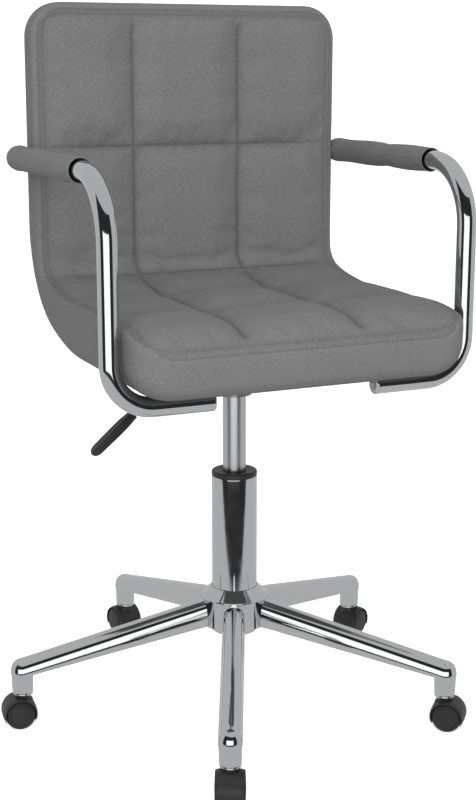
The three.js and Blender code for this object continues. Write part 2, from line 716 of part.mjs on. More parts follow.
function armPlug() {
  const fit = ARM_TUBE_RADIUS - STEEL_WALL - GAP;
  const profile = [
    [0, -PLUG_RIM],
    [ARM_TUBE_RADIUS - 1, -PLUG_RIM],
    [ARM_TUBE_RADIUS, -GAP - 0.4],
    [ARM_TUBE_RADIUS, -GAP],
    [fit, -GAP],
    [fit, PLUG_DEPTH],
    [0, PLUG_DEPTH],
  ];
  return turned(profile, 12).rotateY(Math.PI / 2).translate(ARM_END_X, ARM_FRONT_Y, ARM_LOW_Z);
}

// The screw that holds the armrest to the back, its head inside the tube.
function armBackBolt() {
  const seatOfHead = ARM_X - (ARM_TUBE_RADIUS - STEEL_WALL) + GAP;
  const profile = [
    [0, ARM_BOLT_INNER],
    [BOLT_RADIUS, ARM_BOLT_INNER],
    [BOLT_RADIUS, seatOfHead + 1],
    [BOLT_HEAD_RADIUS - 1.5, seatOfHead + 1],
    [BOLT_HEAD_RADIUS - 1.5, seatOfHead + BOLT_HEAD],
    [0, seatOfHead + BOLT_HEAD],
  ];
  return turned(profile, 12).rotateY(Math.PI / 2).translate(0, ARM_BOLT_Y, ARM_TOP_Z);
}

// ---- casters ---------------------------------------------------------------------------

// All caster pieces are drawn with the stem on the Z axis and the wheels trailing along +X.
function casterStem() {
  const foot = HOOD_OUTER + WHEEL_RADIUS - STEM_SEAT;
  const profile = [
    [0, foot],
    [STEM_RADIUS, foot],
    [STEM_RADIUS, STEM_TOP - 1],
    [STEM_RADIUS - 1, STEM_TOP],
    [0, STEM_TOP],
  ];
  return turned(profile, 12);
}

function casterHood() {
  const cover = new THREE.Shape();
  cover.absarc(0, 0, HOOD_OUTER, -HOOD_DROOP, Math.PI + HOOD_DROOP, false);
  cover.absarc(0, 0, HOOD_INNER, Math.PI + HOOD_DROOP, -HOOD_DROOP, true);
  const rib = new THREE.Shape();
  rib.absarc(0, 0, HOOD_INNER + 1, 0, Math.PI, false);
  rib.lineTo(-2 * AXLE_RADIUS, -3 * AXLE_RADIUS);
  rib.lineTo(2 * AXLE_RADIUS, -3 * AXLE_RADIUS);
  const boss = cylinder(BOSS_RADIUS, HOOD_INNER, HOOD_OUTER, 12).translate(-CASTER_TRAIL, 0, 0);
  const axleHole = cylinder(AXLE_RADIUS + GAP, -CUT, CUT, 12).rotateX(Math.PI / 2);
  const stemHole = cylinder(STEM_RADIUS + GAP, HOOD_OUTER - STEM_SEAT - GAP, HOOD_OUTER + CUT, 12);
  const made = solid(alongY(cover, -HOOD_HALF_WIDTH, HOOD_HALF_WIDTH, 10))
    .add(solid(alongY(rib, -RIB_HALF_WIDTH, RIB_HALF_WIDTH, 6)))
    .add(solid(boss))
    .subtract(solid(axleHole))
    .subtract(solid(stemHole.translate(-CASTER_TRAIL, 0, 0)));
  return surface(made).translate(CASTER_TRAIL, 0, WHEEL_RADIUS);
}

function casterAxle() {
  const half = WHEEL_OUTER - 1;
  return cylinder(AXLE_RADIUS, -half, half, 8)
    .rotateX(Math.PI / 2)
    .translate(CASTER_TRAIL, 0, WHEEL_RADIUS);
}

// A wheel with a flat of its rim straight down. side is -1 or 1 along Y.
function casterWheel(side) {
  const corner = 1 / Math.cos(Math.PI / WHEEL_SIDES);
  const rim = WHEEL_RADIUS * corner;
  const shoulder = (WHEEL_RADIUS - 4) * corner;
  const bore = AXLE_RADIUS + GAP;
  const profile = [
    [bore, WHEEL_INNER],
    [rim, WHEEL_INNER],
    [rim, WHEEL_OUTER - 4],
    [shoulder, WHEEL_OUTER],
    [bore, WHEEL_OUTER],
  ];
  const wheel = turned(profile, WHEEL_SIDES, true).rotateZ(Math.PI / WHEEL_SIDES);
  return wheel.rotateX((-side * Math.PI) / 2).translate(CASTER_TRAIL, 0, WHEEL_RADIUS);
}

// ---- assembly --------------------------------------------------------------------------

piece("base_hub", baseHub(), chrome);
const legGeometry = surface(baseLeg());
for (let i = 0; i < LEG_COUNT; i += 1) {
  const spoke = new THREE.Group();
  spoke.rotation.z = BASE_YAW + i * LEG_PITCH;
  chair.add(spoke);
  piece(`base_leg_${i + 1}`, legGeometry, chrome, spoke);
  const caster = new THREE.Group();
  caster.position.x = STEM_CIRCLE;
  spoke.add(caster);
  piece(`caster_stem_${i + 1}`, casterStem(), steel, caster);
  piece(`caster_hood_${i + 1}`, casterHood(), blackPlastic, caster);
  piece(`caster_axle_${i + 1}`, casterAxle(), steel, caster);
  piece(`caster_wheel_${i + 1}a`, casterWheel(-1), blackPlastic, caster);
  piece(`caster_wheel_${i + 1}b`, casterWheel(1), blackPlastic, caster);
}

piece("column_tube", columnTube(), chrome);
piece("column_collar", columnCollar(), blackPlastic);
piece("thrust_bearing", thrustBearing(), steel);
piece("piston_rod", pistonRod(), steel);
piece("rod_clip", rodClip(), steel);
piece("gas_cylinder", gasCylinder(), chrome);
piece("release_pin", releasePin(), steel);

piece("mount_plate", mountPlate(), steel);
plateBoltPlaces().forEach(([x, y], i) => {
  piece(`plate_bolt_${i + 1}`, seatBolt(x, y, PLATE_TOP - PLATE_STEEL), steel);
});
piece("lever_rod", leverRod(), steel);
piece("lever_handle", leverHandle(), blackPlastic);

piece("seat_board", seatBoard(), plywood);
piece("upholstery", upholstery(), greyFabric);

const rightArm = surface(armTube());
const sleeve = surface(armSleeve());
for (const [label, side] of [
  ["right", -1],
  ["left", 1],
]) {
  const arm = new THREE.Group();
  arm.scale.x = side;
  chair.add(arm);
  piece(`arm_tube_${label}`, rightArm, chrome, arm);
  piece(`arm_sleeve_${label}`, sleeve, greyFabric, arm);
  piece(`arm_plug_${label}`, armPlug(), chrome, arm);
  piece(`arm_back_bolt_${label}`, armBackBolt(), steel, arm);
  TAB_BOLT_X.forEach((x, i) => {
    const name = `arm_seat_bolt_${label}_${i + 1}`;
    piece(name, seatBolt(x, TAB_BOLT_Y, PLATE_TOP - TAB.thickness), steel, arm);
  });
}

export default chair;
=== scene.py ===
"""Swivel office chair: the finished looks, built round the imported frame.

A padded L-shaped seat and back in quilted grey fabric, two bent chromed arms in fabric sleeves,
a gas lift in a chromed column and a five-legged chromed base on black twin-wheel casters.
Shapes are written in millimetres from the column axis at floor level and turned to metres
in the frame when they become a mesh. +Z is up and the sitter faces -Y.
"""

import math

import bmesh
import bpy
import numpy as np
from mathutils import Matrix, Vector


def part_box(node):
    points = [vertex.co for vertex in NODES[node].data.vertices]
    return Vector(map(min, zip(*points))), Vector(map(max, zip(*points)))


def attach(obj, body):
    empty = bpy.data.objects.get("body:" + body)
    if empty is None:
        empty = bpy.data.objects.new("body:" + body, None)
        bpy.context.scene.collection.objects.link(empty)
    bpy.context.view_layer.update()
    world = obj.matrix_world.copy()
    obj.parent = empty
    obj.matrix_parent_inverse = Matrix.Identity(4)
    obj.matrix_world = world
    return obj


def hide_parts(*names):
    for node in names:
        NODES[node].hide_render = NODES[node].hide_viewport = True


bl_info = {
    "name": "Swivel Office Chair", "version": (1, 0, 0), "blender": (4, 5, 0),
    "location": "View3D > Sidebar > Chair",
    "description": "Builds the quilted swivel chair, its chrome and its studio", "category": "Add Mesh"
}

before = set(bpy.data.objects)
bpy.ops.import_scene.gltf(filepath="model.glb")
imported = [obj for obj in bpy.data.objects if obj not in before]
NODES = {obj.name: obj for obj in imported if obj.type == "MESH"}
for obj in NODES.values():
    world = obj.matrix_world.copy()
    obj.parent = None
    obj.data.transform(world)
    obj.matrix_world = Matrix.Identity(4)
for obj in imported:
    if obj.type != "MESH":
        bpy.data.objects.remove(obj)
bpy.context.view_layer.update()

MM = 0.001
COLUMN_LOW, COLUMN_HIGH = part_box("column_tube")
AXIS = np.array([(COLUMN_LOW.x + COLUMN_HIGH.x) / 2, (COLUMN_LOW.y + COLUMN_HIGH.y) / 2, 0.0])
SIDES = {"right": -1.0, "left": 1.0}  # the sitter's right arm is at -X
CASTERS = range(1, 6)
QUARTER = math.pi / 2


def middle(node):
    """The centre of a CAD node's box, in millimetres from the column axis."""
    low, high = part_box(node)
    return (np.array(low) + np.array(high)) / 2 / MM - AXIS / MM


def to_linear(colour):
    """An sRGB hex colour as three linear numbers."""
    srgb = np.array([int(colour[i : i + 2], 16) for i in (1, 3, 5)]) / 255
    linear = np.where(srgb <= 0.04045, srgb / 12.92, ((srgb + 0.055) / 1.055) ** 2.4)
    return tuple(float(v) for v in linear)


# ---- surfaces --------------------------------------------------------------------------


def cells(grid):
    """The four corners of every cell of a grid, in order round the cell."""
    corners = [grid[:-1, :-1], grid[:-1, 1:], grid[1:, 1:], grid[1:, :-1]]
    joined = np.stack(corners, axis=2)
    return joined.reshape(-1, 4, *grid.shape[2:])


def span_map(points):
    """Distances along a grid's rows and columns, in metres, as its flat texture coordinates."""
    across = np.linalg.norm(np.diff(points, axis=1), axis=2).mean(axis=0)
    down = np.linalg.norm(np.diff(points, axis=0), axis=2).mean(axis=1)
    u = np.concatenate([[0.0], np.cumsum(across)]) * MM
    v = np.concatenate([[0.0], np.cumsum(down)]) * MM
    return np.stack(np.broadcast_arrays(u[None, :], v[:, None]), axis=2)


def build(name, patches, material, body, nodes=(), sharp=40.0, weld=0.004):
    """Open grids of points whose borders meet become one closed, outward, smooth mesh.
    A patch is a grid in millimetres, or a grid with its own flat coordinates."""
    pairs = [p if isinstance(p, tuple) else (p, span_map(p)) for p in patches]
    faces, maps, start = [], [], 0
    for grid, flat in pairs:
        ids = start + np.arange(grid.shape[0] * grid.shape[1]).reshape(grid.shape[:2])
        faces.append(cells(ids))
        maps.append(cells(flat))
        start += ids.size
    points = np.concatenate([grid.reshape(-1, 3) for grid, _ in pairs]) * MM + AXIS
    mesh = bpy.data.meshes.new(name)
    mesh.from_pydata(points, [], np.concatenate(faces))
    layer = mesh.uv_layers.new(name="flat")
    layer.uv.foreach_set("vector", np.concatenate(maps).astype(np.float32).ravel())
    made = bmesh.new()
    made.from_mesh(mesh)
    bmesh.ops.remove_doubles(made, verts=made.verts, dist=weld * MM)
    bmesh.ops.recalc_face_normals(made, faces=made.faces)
    made.to_mesh(mesh)
    made.free()
    mesh.shade_smooth()
    mesh.set_sharp_from_angle(angle=math.radians(sharp))
    mesh.materials.append(material)
    piece = bpy.data.objects.new(name, mesh)
    bpy.context.scene.collection.objects.link(piece)
    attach(piece, body)
    if nodes:
        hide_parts(*nodes)
    return piece


def rounded(corners, radius, steps=5):
    """A polyline whose inner corners are eased: each corner becomes a parabola that leaves the
    two sides at most radius before and after it, with a point more on each side that keeps the
    flat stretches shading flat."""
    corners = np.asarray(corners, float)
    before, at, after = corners[:-2], corners[1:-1], corners[2:]
    back, ahead = before - at, after - at
    length_back = np.linalg.norm(back, axis=1, keepdims=True)
    length_ahead = np.linalg.norm(ahead, axis=1, keepdims=True)
    shorter = np.minimum(length_back, length_ahead)
    reach = np.minimum(radius, 0.42 * shorter)
    hold = np.minimum(1.3 * reach + 0.3, 0.48 * shorter)
    enter = (at + back / length_back * hold)[:, None]
    leave = (at + ahead / length_ahead * hold)[:, None]
    first = (at + back / length_back * reach)[:, None]
    last = (at + ahead / length_ahead * reach)[:, None]
    t = np.linspace(0, 1, steps)[None, :, None]
    eased = (1 - t) ** 2 * first + 2 * t * (1 - t) * at[:, None] + t**2 * last
    eased = np.concatenate([enter, eased, leave], axis=1)
    return np.concatenate([corners[:1], eased.reshape(-1, corners.shape[1]), corners[-1:]])


def circle(radius, sides):
    angle = np.linspace(0, 2 * math.pi, sides + 1)
    return np.stack([radius * np.cos(angle), radius * np.sin(angle)], axis=1)


def turned(profile, sides=96):
    """A surface of revolution: at each height the radius is carried once round the Z axis."""
    profile = np.asarray(profile, float)
    ring = circle(1.0, sides)
    height = np.broadcast_to(profile[:, 1:2, None], (len(profile), sides + 1, 1))
    flat = profile[:, 0:1, None] * ring[None]
    return np.concatenate([flat, height], axis=2)


def swept(path, section, reference):
    """A section carried along a path: each point is the path's point, plus the section's first
    number along the side vector and its second along the lift vector. The side vector is the
    reference with its part along the path taken away."""
    path, section = np.asarray(path, float), np.asarray(section, float)
    side, lift = path_frame(path, reference)
    if section.ndim == 2:
        section = np.broadcast_to(section, (len(path), *section.shape))
    return path[:, None] + section[..., :1] * side[:, None] + section[..., 1:] * lift[:, None]


def path_frame(path, reference):
    tangent = np.gradient(path, axis=0)
    tangent /= np.linalg.norm(tangent, axis=1, keepdims=True)
    reference = np.asarray(reference, float)
    side = reference - (tangent @ reference)[:, None] * tangent
    side /= np.linalg.norm(side, axis=1, keepdims=True)
    return side, np.cross(tangent, side)


def arc(centre, start, end, steps):
    """A quarter circle: the centre plus start times cos and end times sin of the angle."""
    angle = np.linspace(0, QUARTER, steps)[:, None]
    return np.asarray(centre) + np.cos(angle) * np.asarray(start) + np.sin(angle) * np.asarray(end)


def about_z(points, angle):
    """Points turned about the Z axis."""
    c, s = math.cos(angle), math.sin(angle)
    return points @ np.array([[c, s, 0], [-s, c, 0], [0, 0, 1.0]])


def shifted(points, x=0.0, y=0.0, z=0.0):
    return points + np.array([x, y, z])


def along_x(points):
    """Points drawn about Z, laid along X."""
    return points[..., [2, 1, 0]]


def along_y(points):
    """Points drawn about Z, laid along Y."""
    return points[..., [0, 2, 1]]


def smooth_step(value, low, high):
    t = np.clip((value - low) / (high - low), 0, 1)
    return t * t * (3 - 2 * t)


# ---- materials -------------------------------------------------------------------------


def add(tree, kind, settings=None, links=None):
    """Adds a shader node, sets its values, inputs and colour stops, and joins its inputs to other
    nodes, each given as a node and its output."""
    node = tree.nodes.new("ShaderNode" + kind)
    for name, value in (settings or {}).items():
        if name == "stops":
            elements = node.color_ramp.elements
            while len(elements) < len(value):
                elements.new(0.5)
            for element, (place, colour) in zip(elements, value):
                element.position, element.color = place, (*colour, 1.0)
        elif isinstance(name, str) and hasattr(node, name):
            setattr(node, name, value)
        else:
            node.inputs[name].default_value = value
    for name, (source, output) in (links or {}).items():
        tree.links.new(source.outputs[output], node.inputs[name])
    return node


def new_material(name, colour, settings):
    """A material with an empty tree, and its shader with the uniform values set on it."""
    material = bpy.data.materials.new(name)
    material.use_nodes = True
    tree = material.node_tree
    tree.nodes.clear()
    shader = add(tree, "BsdfPrincipled", settings)
    shader.inputs["Base Color"].default_value = (*colour, 1.0)
    add(tree, "OutputMaterial", {}, {"Surface": (shader, 0)})
    material.diffuse_color = (*colour, 1.0)
    return material, tree, shader


def scaled(colour, factor):
    return tuple(min(1.0, c * factor) for c in colour)


def woven_polyester(colour):
    """Polyester upholstery in a plain weave of mixed light and dark grey yarns. The yarns are 0.7 mm apart
    on the real cloth and 1.2 mm here so that they show; the seam attribute paints shade into the colour in
    the seam valleys."""
    material, tree, shader = new_material(
        "woven_polyester", colour,
        {"Roughness": 0.92, "Sheen Weight": 0.06, "Sheen Roughness": 0.5, "IOR": 1.45}
    )
    shader.inputs["Specular IOR Level"].default_value = 0.15
    yarn = 1.2 * MM
    flat = add(tree, "UVMap", {"uv_map": "flat"})
    waves = {}
    for direction in ("X", "Y"):
        waves[direction] = add(
            tree, "TexWave",
            {
                "wave_type": "BANDS", "bands_direction": direction, "wave_profile": "SIN",
                "Scale": math.pi / (10 * yarn), "Distortion": 0.5, "Detail": 1.0, "Detail Scale": 1.5
            },
            {"Vector": (flat, "UV")}
        )
    weave = add(tree, "Math", {"operation": "MULTIPLY"}, {0: (waves["X"], "Fac"), 1: (waves["Y"], "Fac")})
    streak_map = add(tree, "Mapping", {"Scale": (180.0, 900.0, 1.0)}, {"Vector": (flat, "UV")})
    streaks = add(
        tree, "TexNoise", {"noise_dimensions": "2D", "Scale": 1.0, "Detail": 3.0, "Roughness": 0.6},
        {"Vector": (streak_map, "Vector")}
    )
    warp_map = add(tree, "Mapping", {"Scale": (900.0, 220.0, 1.0)}, {"Vector": (flat, "UV")})
    warp = add(
        tree, "TexNoise", {"noise_dimensions": "2D", "Scale": 1.0, "Detail": 2.0, "Roughness": 0.6},
        {"Vector": (warp_map, "Vector")}
    )
    yarns = add(
        tree, "Mix", {"data_type": "FLOAT", "Factor": 0.4}, {"A": (streaks, "Fac"), "B": (warp, "Fac")}
    )
    place = add(tree, "TexCoord")
    patches = add(tree, "TexNoise", {"Scale": 9.0, "Detail": 2.0}, {"Vector": (place, "Object")})
    tone = add(tree, "ValToRGB", {"stops": [
        (0.3, scaled(colour, 0.8)), (0.5, colour), (0.72, scaled(colour, 1.25))
    ]}, {"Fac": (yarns, "Result")})
    broad = add(tree, "ValToRGB", {"stops": [
        (0.3, (0.93, 0.93, 0.93)), (0.7, (1.0, 1.0, 1.0))
    ]}, {"Fac": (patches, "Fac")})
    toned = add(
        tree, "Mix", {"data_type": "RGBA", "blend_type": "MULTIPLY", "Factor": 1.0},
        {"A": (tone, "Color"), "B": (broad, "Color")}
    )
    # painted shade: the seam attribute darkens the cloth to 0.58 of its colour in the cover's seam valleys
    # and inside the sleeves' turned-in mouths
    seam = add(tree, "Attribute", {"attribute_name": "seam"})
    shade = add(tree, "ValToRGB", {"stops": [
        (0.0, (1.0, 1.0, 1.0)), (1.0, (0.58, 0.58, 0.58))
    ]}, {"Fac": (seam, "Fac")})
    finished = add(
        tree, "Mix", {"data_type": "RGBA", "blend_type": "MULTIPLY", "Factor": 1.0},
        {"A": (toned, "Result"), "B": (shade, "Color")}
    )
    tree.links.new(finished.outputs["Result"], shader.inputs["Base Color"])
    relief = add(
        tree, "Mix", {"data_type": "FLOAT", "Factor": 0.5},
        {"A": (weave, "Value"), "B": (yarns, "Result")}
    )
    bump = add(tree, "Bump", {"Strength": 0.5, "Distance": 0.35 * MM}, {"Height": (relief, "Result")})
    tree.links.new(bump.outputs["Normal"], shader.inputs["Normal"])
    return material


def spun_thread(colour):
    """Sewing thread: twisted polyester, a little shinier than the cloth, with its twist as fine
    slanted ridges 0.5 mm apart."""
    material, tree, shader = new_material(
        "spun_thread", colour, {"Roughness": 0.7, "Sheen Weight": 0.1, "IOR": 1.5}
    )
    flat = add(tree, "UVMap", {"uv_map": "flat"})
    twist = add(
        tree, "TexWave", {"bands_direction": "DIAGONAL", "Scale": math.pi / (10 * 0.5 * MM)},
        {"Vector": (flat, "UV")}
    )
    bump = add(tree, "Bump", {"Strength": 0.4, "Distance": 0.1 * MM}, {"Height": (twist, "Fac")})
    tree.links.new(bump.outputs["Normal"], shader.inputs["Normal"])
    return material


def chromium_plate(name, colour, roughness, grain):
    """Bright chromium plate on polished steel: a clean mirror, dulled slightly by fine wiping
    marks and by the waviness of the steel under it."""
    material, tree, shader = new_material(name, colour, {"Metallic": 1.0, "Roughness": roughness})
    place = add(tree, "TexCoord")
    wiping = add(
        tree, "TexNoise", {"Scale": 60.0, "Detail": 3.0, "Roughness": 0.6}, {"Vector": (place, "Object")}
    )
    dull = add(
        tree, "MapRange",
        {"From Min": 0.35, "From Max": 0.75, "To Min": roughness, "To Max": roughness + 0.05},
        {"Value": (wiping, "Fac")}
    )
    tree.links.new(dull.outputs["Result"], shader.inputs["Roughness"])
    stretch = add(tree, "Mapping", {"Scale": grain}, {"Vector": (place, "Object")})
    ground = add(tree, "TexNoise", {"Scale": 1.0, "Detail": 2.0}, {"Vector": (stretch, "Vector")})
    bump = add(tree, "Bump", {"Strength": 0.05, "Distance": 0.02 * MM}, {"Height": (ground, "Fac")})
    tree.links.new(bump.outputs["Normal"], shader.inputs["Normal"])
    return material


def zinc_plated_steel(colour):
    """Zinc-plated steel: a soft grey metal whose sheen breaks up into spangled, drawn patches."""
    material, tree, shader = new_material(
        "zinc_plated_steel", colour, {"Metallic": 1.0, "Roughness": 0.38}
    )
    place = add(tree, "TexCoord")
    spangle = add(tree, "TexVoronoi", {"Scale": 260.0}, {"Vector": (place, "Object")})
    cloud = add(tree, "TexNoise", {"Scale": 45.0, "Detail": 4.0}, {"Vector": (place, "Object")})
    tone = add(tree, "ValToRGB", {"stops": [
        (0.3, scaled(colour, 0.82)), (0.7, scaled(colour, 1.1))
    ]}, {"Fac": (cloud, "Fac")})
    tree.links.new(tone.outputs["Color"], shader.inputs["Base Color"])
    dull = add(
        tree, "MapRange", {"From Min": 0.0, "From Max": 1.0, "To Min": 0.3, "To Max": 0.46},
        {"Value": (spangle, "Distance")}
    )
    tree.links.new(dull.outputs["Result"], shader.inputs["Roughness"])
    return material


def moulded_plastic(name, colour, roughness, grit):
    """Injection-moulded plastic with a spark-eroded texture: fine even grain, a soft broad
    highlight, and slightly paler rubbed patches."""
    material, tree, shader = new_material(name, colour, {"Roughness": roughness, "IOR": 1.49})
    place = add(tree, "TexCoord")
    grain = add(
        tree, "TexNoise", {"Scale": 1.0 / (grit * MM), "Detail": 2.0}, {"Vector": (place, "Object")}
    )
    rubbed = add(tree, "TexNoise", {"Scale": 35.0, "Detail": 3.0}, {"Vector": (place, "Object")})
    tone = add(tree, "ValToRGB", {"stops": [
        (0.35, scaled(colour, 0.85)), (0.7, scaled(colour, 1.25))
    ]}, {"Fac": (rubbed, "Fac")})
    tree.links.new(tone.outputs["Color"], shader.inputs["Base Color"])
    bump = add(tree, "Bump", {"Strength": 0.25, "Distance": 0.06 * MM}, {"Height": (grain, "Fac")})
    tree.links.new(bump.outputs["Normal"], shader.inputs["Normal"])
    return material


def birch_plywood(colour):
    """Sliced birch face veneer, unfinished: pale, with faint long grain 4 mm apart."""
    material, tree, shader = new_material("birch_plywood", colour, {"Roughness": 0.62, "IOR": 1.5})
    place = add(tree, "TexCoord")
    stretch = add(tree, "Mapping", {"Scale": (250.0, 12.0, 12.0)}, {"Vector": (place, "Object")})
    grain = add(
        tree, "TexNoise", {"Scale": 1.0, "Detail": 4.0, "Distortion": 0.4},
        {"Vector": (stretch, "Vector")}
    )
    tone = add(tree, "ValToRGB", {"stops": [
        (0.3, scaled(colour, 0.8)), (0.7, scaled(colour, 1.1))
    ]}, {"Fac": (grain, "Fac")})
    tree.links.new(tone.outputs["Color"], shader.inputs["Base Color"])
    return material


# ---- sizes and colours a user may change -------------------------------------------------


def length(name, description, millimetres):
    return bpy.props.FloatProperty(
        name=name, description=description, default=millimetres * MM, unit="LENGTH", precision=4
    )


def tint(name, description, colour):
    return bpy.props.FloatVectorProperty(
        name=name, description=description, default=to_linear(colour), subtype="COLOR", min=0, max=1
    )


class ChairCoverSizes(bpy.types.PropertyGroup):
    """Sizes of the quilted cover and the sleeves"""

    seat_puff: length("Seat puff", "Height of the seat's quilted panels above their seams", 7.0)
    back_puff: length("Back puff", "Height of the back's quilted panels above their seams", 6.5)
    seam_band: length("Seam band", "Width of the band between the edge's two seam lines", 5.6)
    stitch: length("Stitch", "Length of one stitch with its gap", 4.2)
    thread: length("Thread", "Thickness of the sewing thread", 0.65)
    sleeve_radius: length("Sleeve radius", "Radius of the padded armrest sleeves", 14.6)


class ChairMetalSizes(bpy.types.PropertyGroup):
    """Sizes of the tubes and the base that a user may change"""

    arm_radius: length("Arm radius", "Radius of the bent arm tubes", 11.0)
    arm_wall: length("Arm wall", "Wall thickness of the arm tubes", 2.0)
    leg_wall: length("Leg wall", "Thickness of the pressed legs", 2.0)
    edge: length("Edge", "Size of the eased edges on turned metal", 0.8)


class ChairColours(bpy.types.PropertyGroup):
    """Colours of the finishes"""

    fabric: tint("Fabric", "Mid-grey woven cover", "#616161")
    thread: tint("Thread", "Sewing thread", "#5c5c5c")
    chrome: tint("Chrome", "Bright plate", "#d2d3d5")
    steel: tint("Steel", "Zinc-plated fittings", "#9c9d9f")
    plastic: tint("Plastic", "Black moulded parts", "#1e1e1f")
    wheels: tint("Wheels", "Black nylon wheels", "#1b1b1c")
    plywood: tint("Plywood", "Birch board", "#cfae80")
    floor: tint("Floor", "Plain pale floor", "#f4f4f4")


def finishes():
    """The chair's materials by name, made once from the colours."""
    if "woven_polyester" not in bpy.data.materials:
        colours = bpy.context.scene.chair_colours
        woven_polyester(tuple(colours.fabric))
        spun_thread(tuple(colours.thread))
        chromium_plate("bright_chromium", tuple(colours.chrome), 0.05, (90.0, 90.0, 12.0))
        chromium_plate("ground_chromium", tuple(colours.chrome), 0.3, (30.0, 30.0, 900.0))
        zinc_plated_steel(tuple(colours.steel))
        moulded_plastic("polypropylene", tuple(colours.plastic), 0.42, 0.6)
        moulded_plastic("nylon", tuple(colours.wheels), 0.36, 0.9)
        birch_plywood(tuple(colours.plywood))
    return bpy.data.materials


# ---- padded seat and back ----------------------------------------------------------------

# Half width of the face to its edge seam
FACE_HALF = 192.0
SEAM_COLUMNS = (-74.0, 65.0)
# Side outline of the face, at the depth of its seams
FACE_FRONT, FACE_LOW, FACE_TOP = -204.5, 483.0, 508.5
NOSE = 78.0
BACK_FACE, BACK_HEAD = 135.3, 841.0
# The bend from seat to back: ends and handles of one cubic curve, and the crease's height
BEND = ((30.0, FACE_TOP), (72.0, 510.5), (BACK_FACE, 518.0), (BACK_FACE, 548.0))
HEEL, CREASE_HIGH = 76.0, 525.5
# Side outline of the rear and the underside
UNDERSIDE, REAR, REAR_HEAD = 438.1, 171.5, 166.5
OUTER_BEND = 147.0
REAR_START = -193.0
SEAT_INSET, FRONT_INSET = 29.0, 12.0
CORNER_FRONT, CORNER_UNDER, CORNER_TOP = 38.0, 20.0, 32.0
SEAM_ROWS_SEAT = (-82.0, 38.0)
SEAM_ROW_BACK = 681.0
COVER_SWELL = 4.0  # how far the air may move the cover's cloth


def polyline_map(points):
    """Distance along a polyline at each of its points."""
    steps = np.linalg.norm(np.diff(points, axis=0), axis=1)
    return np.concatenate([[0.0], np.cumsum(steps)])


def face_rail():
    """The face's side outline in Y and Z: a quarter ellipse over the front edge, the flat seat,
    a cubic curve into the back and the upright back."""
    nose = arc((FACE_FRONT + NOSE, FACE_LOW), (-NOSE, 0), (0, FACE_TOP - FACE_LOW), 30)
    t = np.linspace(0.0, 1.0, 40)[:, None]
    shares = ((1 - t) ** 3, 3 * t * (1 - t) ** 2, 3 * t**2 * (1 - t), t**3)
    bend = sum(share * np.array(point) for share, point in zip(shares, BEND))
    return np.concatenate([nose, bend, [[BACK_FACE, BACK_HEAD]]])


def rear_rail():
    """The rear's side outline: the flat underside, a wide quarter circle and the upright rear."""
    centre = (REAR - OUTER_BEND, UNDERSIDE + OUTER_BEND)
    bend = arc(centre, (0, -OUTER_BEND), (OUTER_BEND, 0), 60)
    return np.concatenate([[[REAR_START, UNDERSIDE]], bend, [[REAR_HEAD, BACK_HEAD]]])


class Shell:
    """The two rails with matched distances, so that a point of the face knows the point of the
    rear behind it."""

    def __init__(self):
        self.face, self.rear = face_rail(), rear_rail()
        self.face_at, self.rear_at = polyline_map(self.face), polyline_map(self.rear)
        self.length = self.face_at[-1]
        bend_start = self.at_seat(BEND[0][0]) + HEEL
        bend_end = self.at_back(BEND[3][1]) - 16.0
        round_start = REAR - OUTER_BEND - REAR_START
        round_length = QUARTER * OUTER_BEND
        turn_end = self.at_back(UNDERSIDE + OUTER_BEND)
        self.face_marks = [
            0.0, self.at_seat(-165.0), self.at_seat(REAR - OUTER_BEND), bend_start, bend_end, turn_end,
            self.length
        ]
        self.rear_marks = [
            0.0, 33.0, round_start, round_start + 0.39 * round_length, round_start + 0.69 * round_length,
            round_start + round_length, self.rear_at[-1]
        ]
        self.bend_start, self.turn_end = bend_start, turn_end

    def at_seat(self, y):
        """Distance along the face to a place on the flat seat."""
        nose_end = self.face_at[29]
        return nose_end + (y - (FACE_FRONT + NOSE))

    def at_back(self, z):
        """Distance along the face to a height on the upright back."""
        return self.length - (BACK_HEAD - z)

    def on_face(self, s):
        return np.stack([np.interp(s, self.face_at, self.face[:, k]) for k in (0, 1)], axis=-1)

    def on_rear(self, s):
        r = np.interp(s, self.face_marks, self.rear_marks)
        return np.stack([np.interp(r, self.rear_at, self.rear[:, k]) for k in (0, 1)], axis=-1)

    def face_normal(self, s):
        """The face's own direction turned a quarter, which points away from the padding."""
        step = 1.0
        ahead = self.on_face(np.minimum(s + step, self.length))
        back = self.on_face(np.maximum(s - step, 0.0))
        tangent = ahead - back
        tangent /= np.linalg.norm(tangent, axis=-1, keepdims=True)
        return np.stack([-tangent[..., 1], tangent[..., 0]], axis=-1)

    def uprightness(self, s):
        """0 on the seat and 1 on the back, turning smoothly through the bend."""
        return smooth_step(s, self.bend_start - 60, self.turn_end)


def seam_lines(shell, band):
    """The columns and rows on which the face is sewn, as distances."""
    columns = [-FACE_HALF + band, *SEAM_COLUMNS, FACE_HALF - band]
    bend = np.interp(CREASE_HIGH, shell.face[30:, 1], shell.face_at[30:])
    rows = [band + 1.5, *(shell.at_seat(y) for y in SEAM_ROWS_SEAT)]
    rows += [bend, shell.at_back(SEAM_ROW_BACK), shell.length - band]
    return np.array(columns), np.array(rows)


def spaced(low, high, seams, step, near=(0.0, 1.6, 4.0, 8.0)):
    """Grid lines: the seams with closer lines beside them, and even lines between."""
    marks = np.concatenate([np.add.outer(seams, np.array(near)), np.subtract.outer(seams, near)])
    marks = np.unique(np.round(np.concatenate([marks.ravel(), [low, high]]), 3))
    marks = marks[(marks >= low) & (marks <= high)]
    keep = np.concatenate([[True], np.diff(marks) > 0.7])
    marks = marks[keep]
    marks[-1] = high
    counts = np.maximum(1, np.ceil(np.diff(marks) / step).astype(int))
    pieces = [np.linspace(a, b, n, endpoint=False) for a, b, n in zip(marks, marks[1:], counts)]
    return np.concatenate([*pieces, [high]])


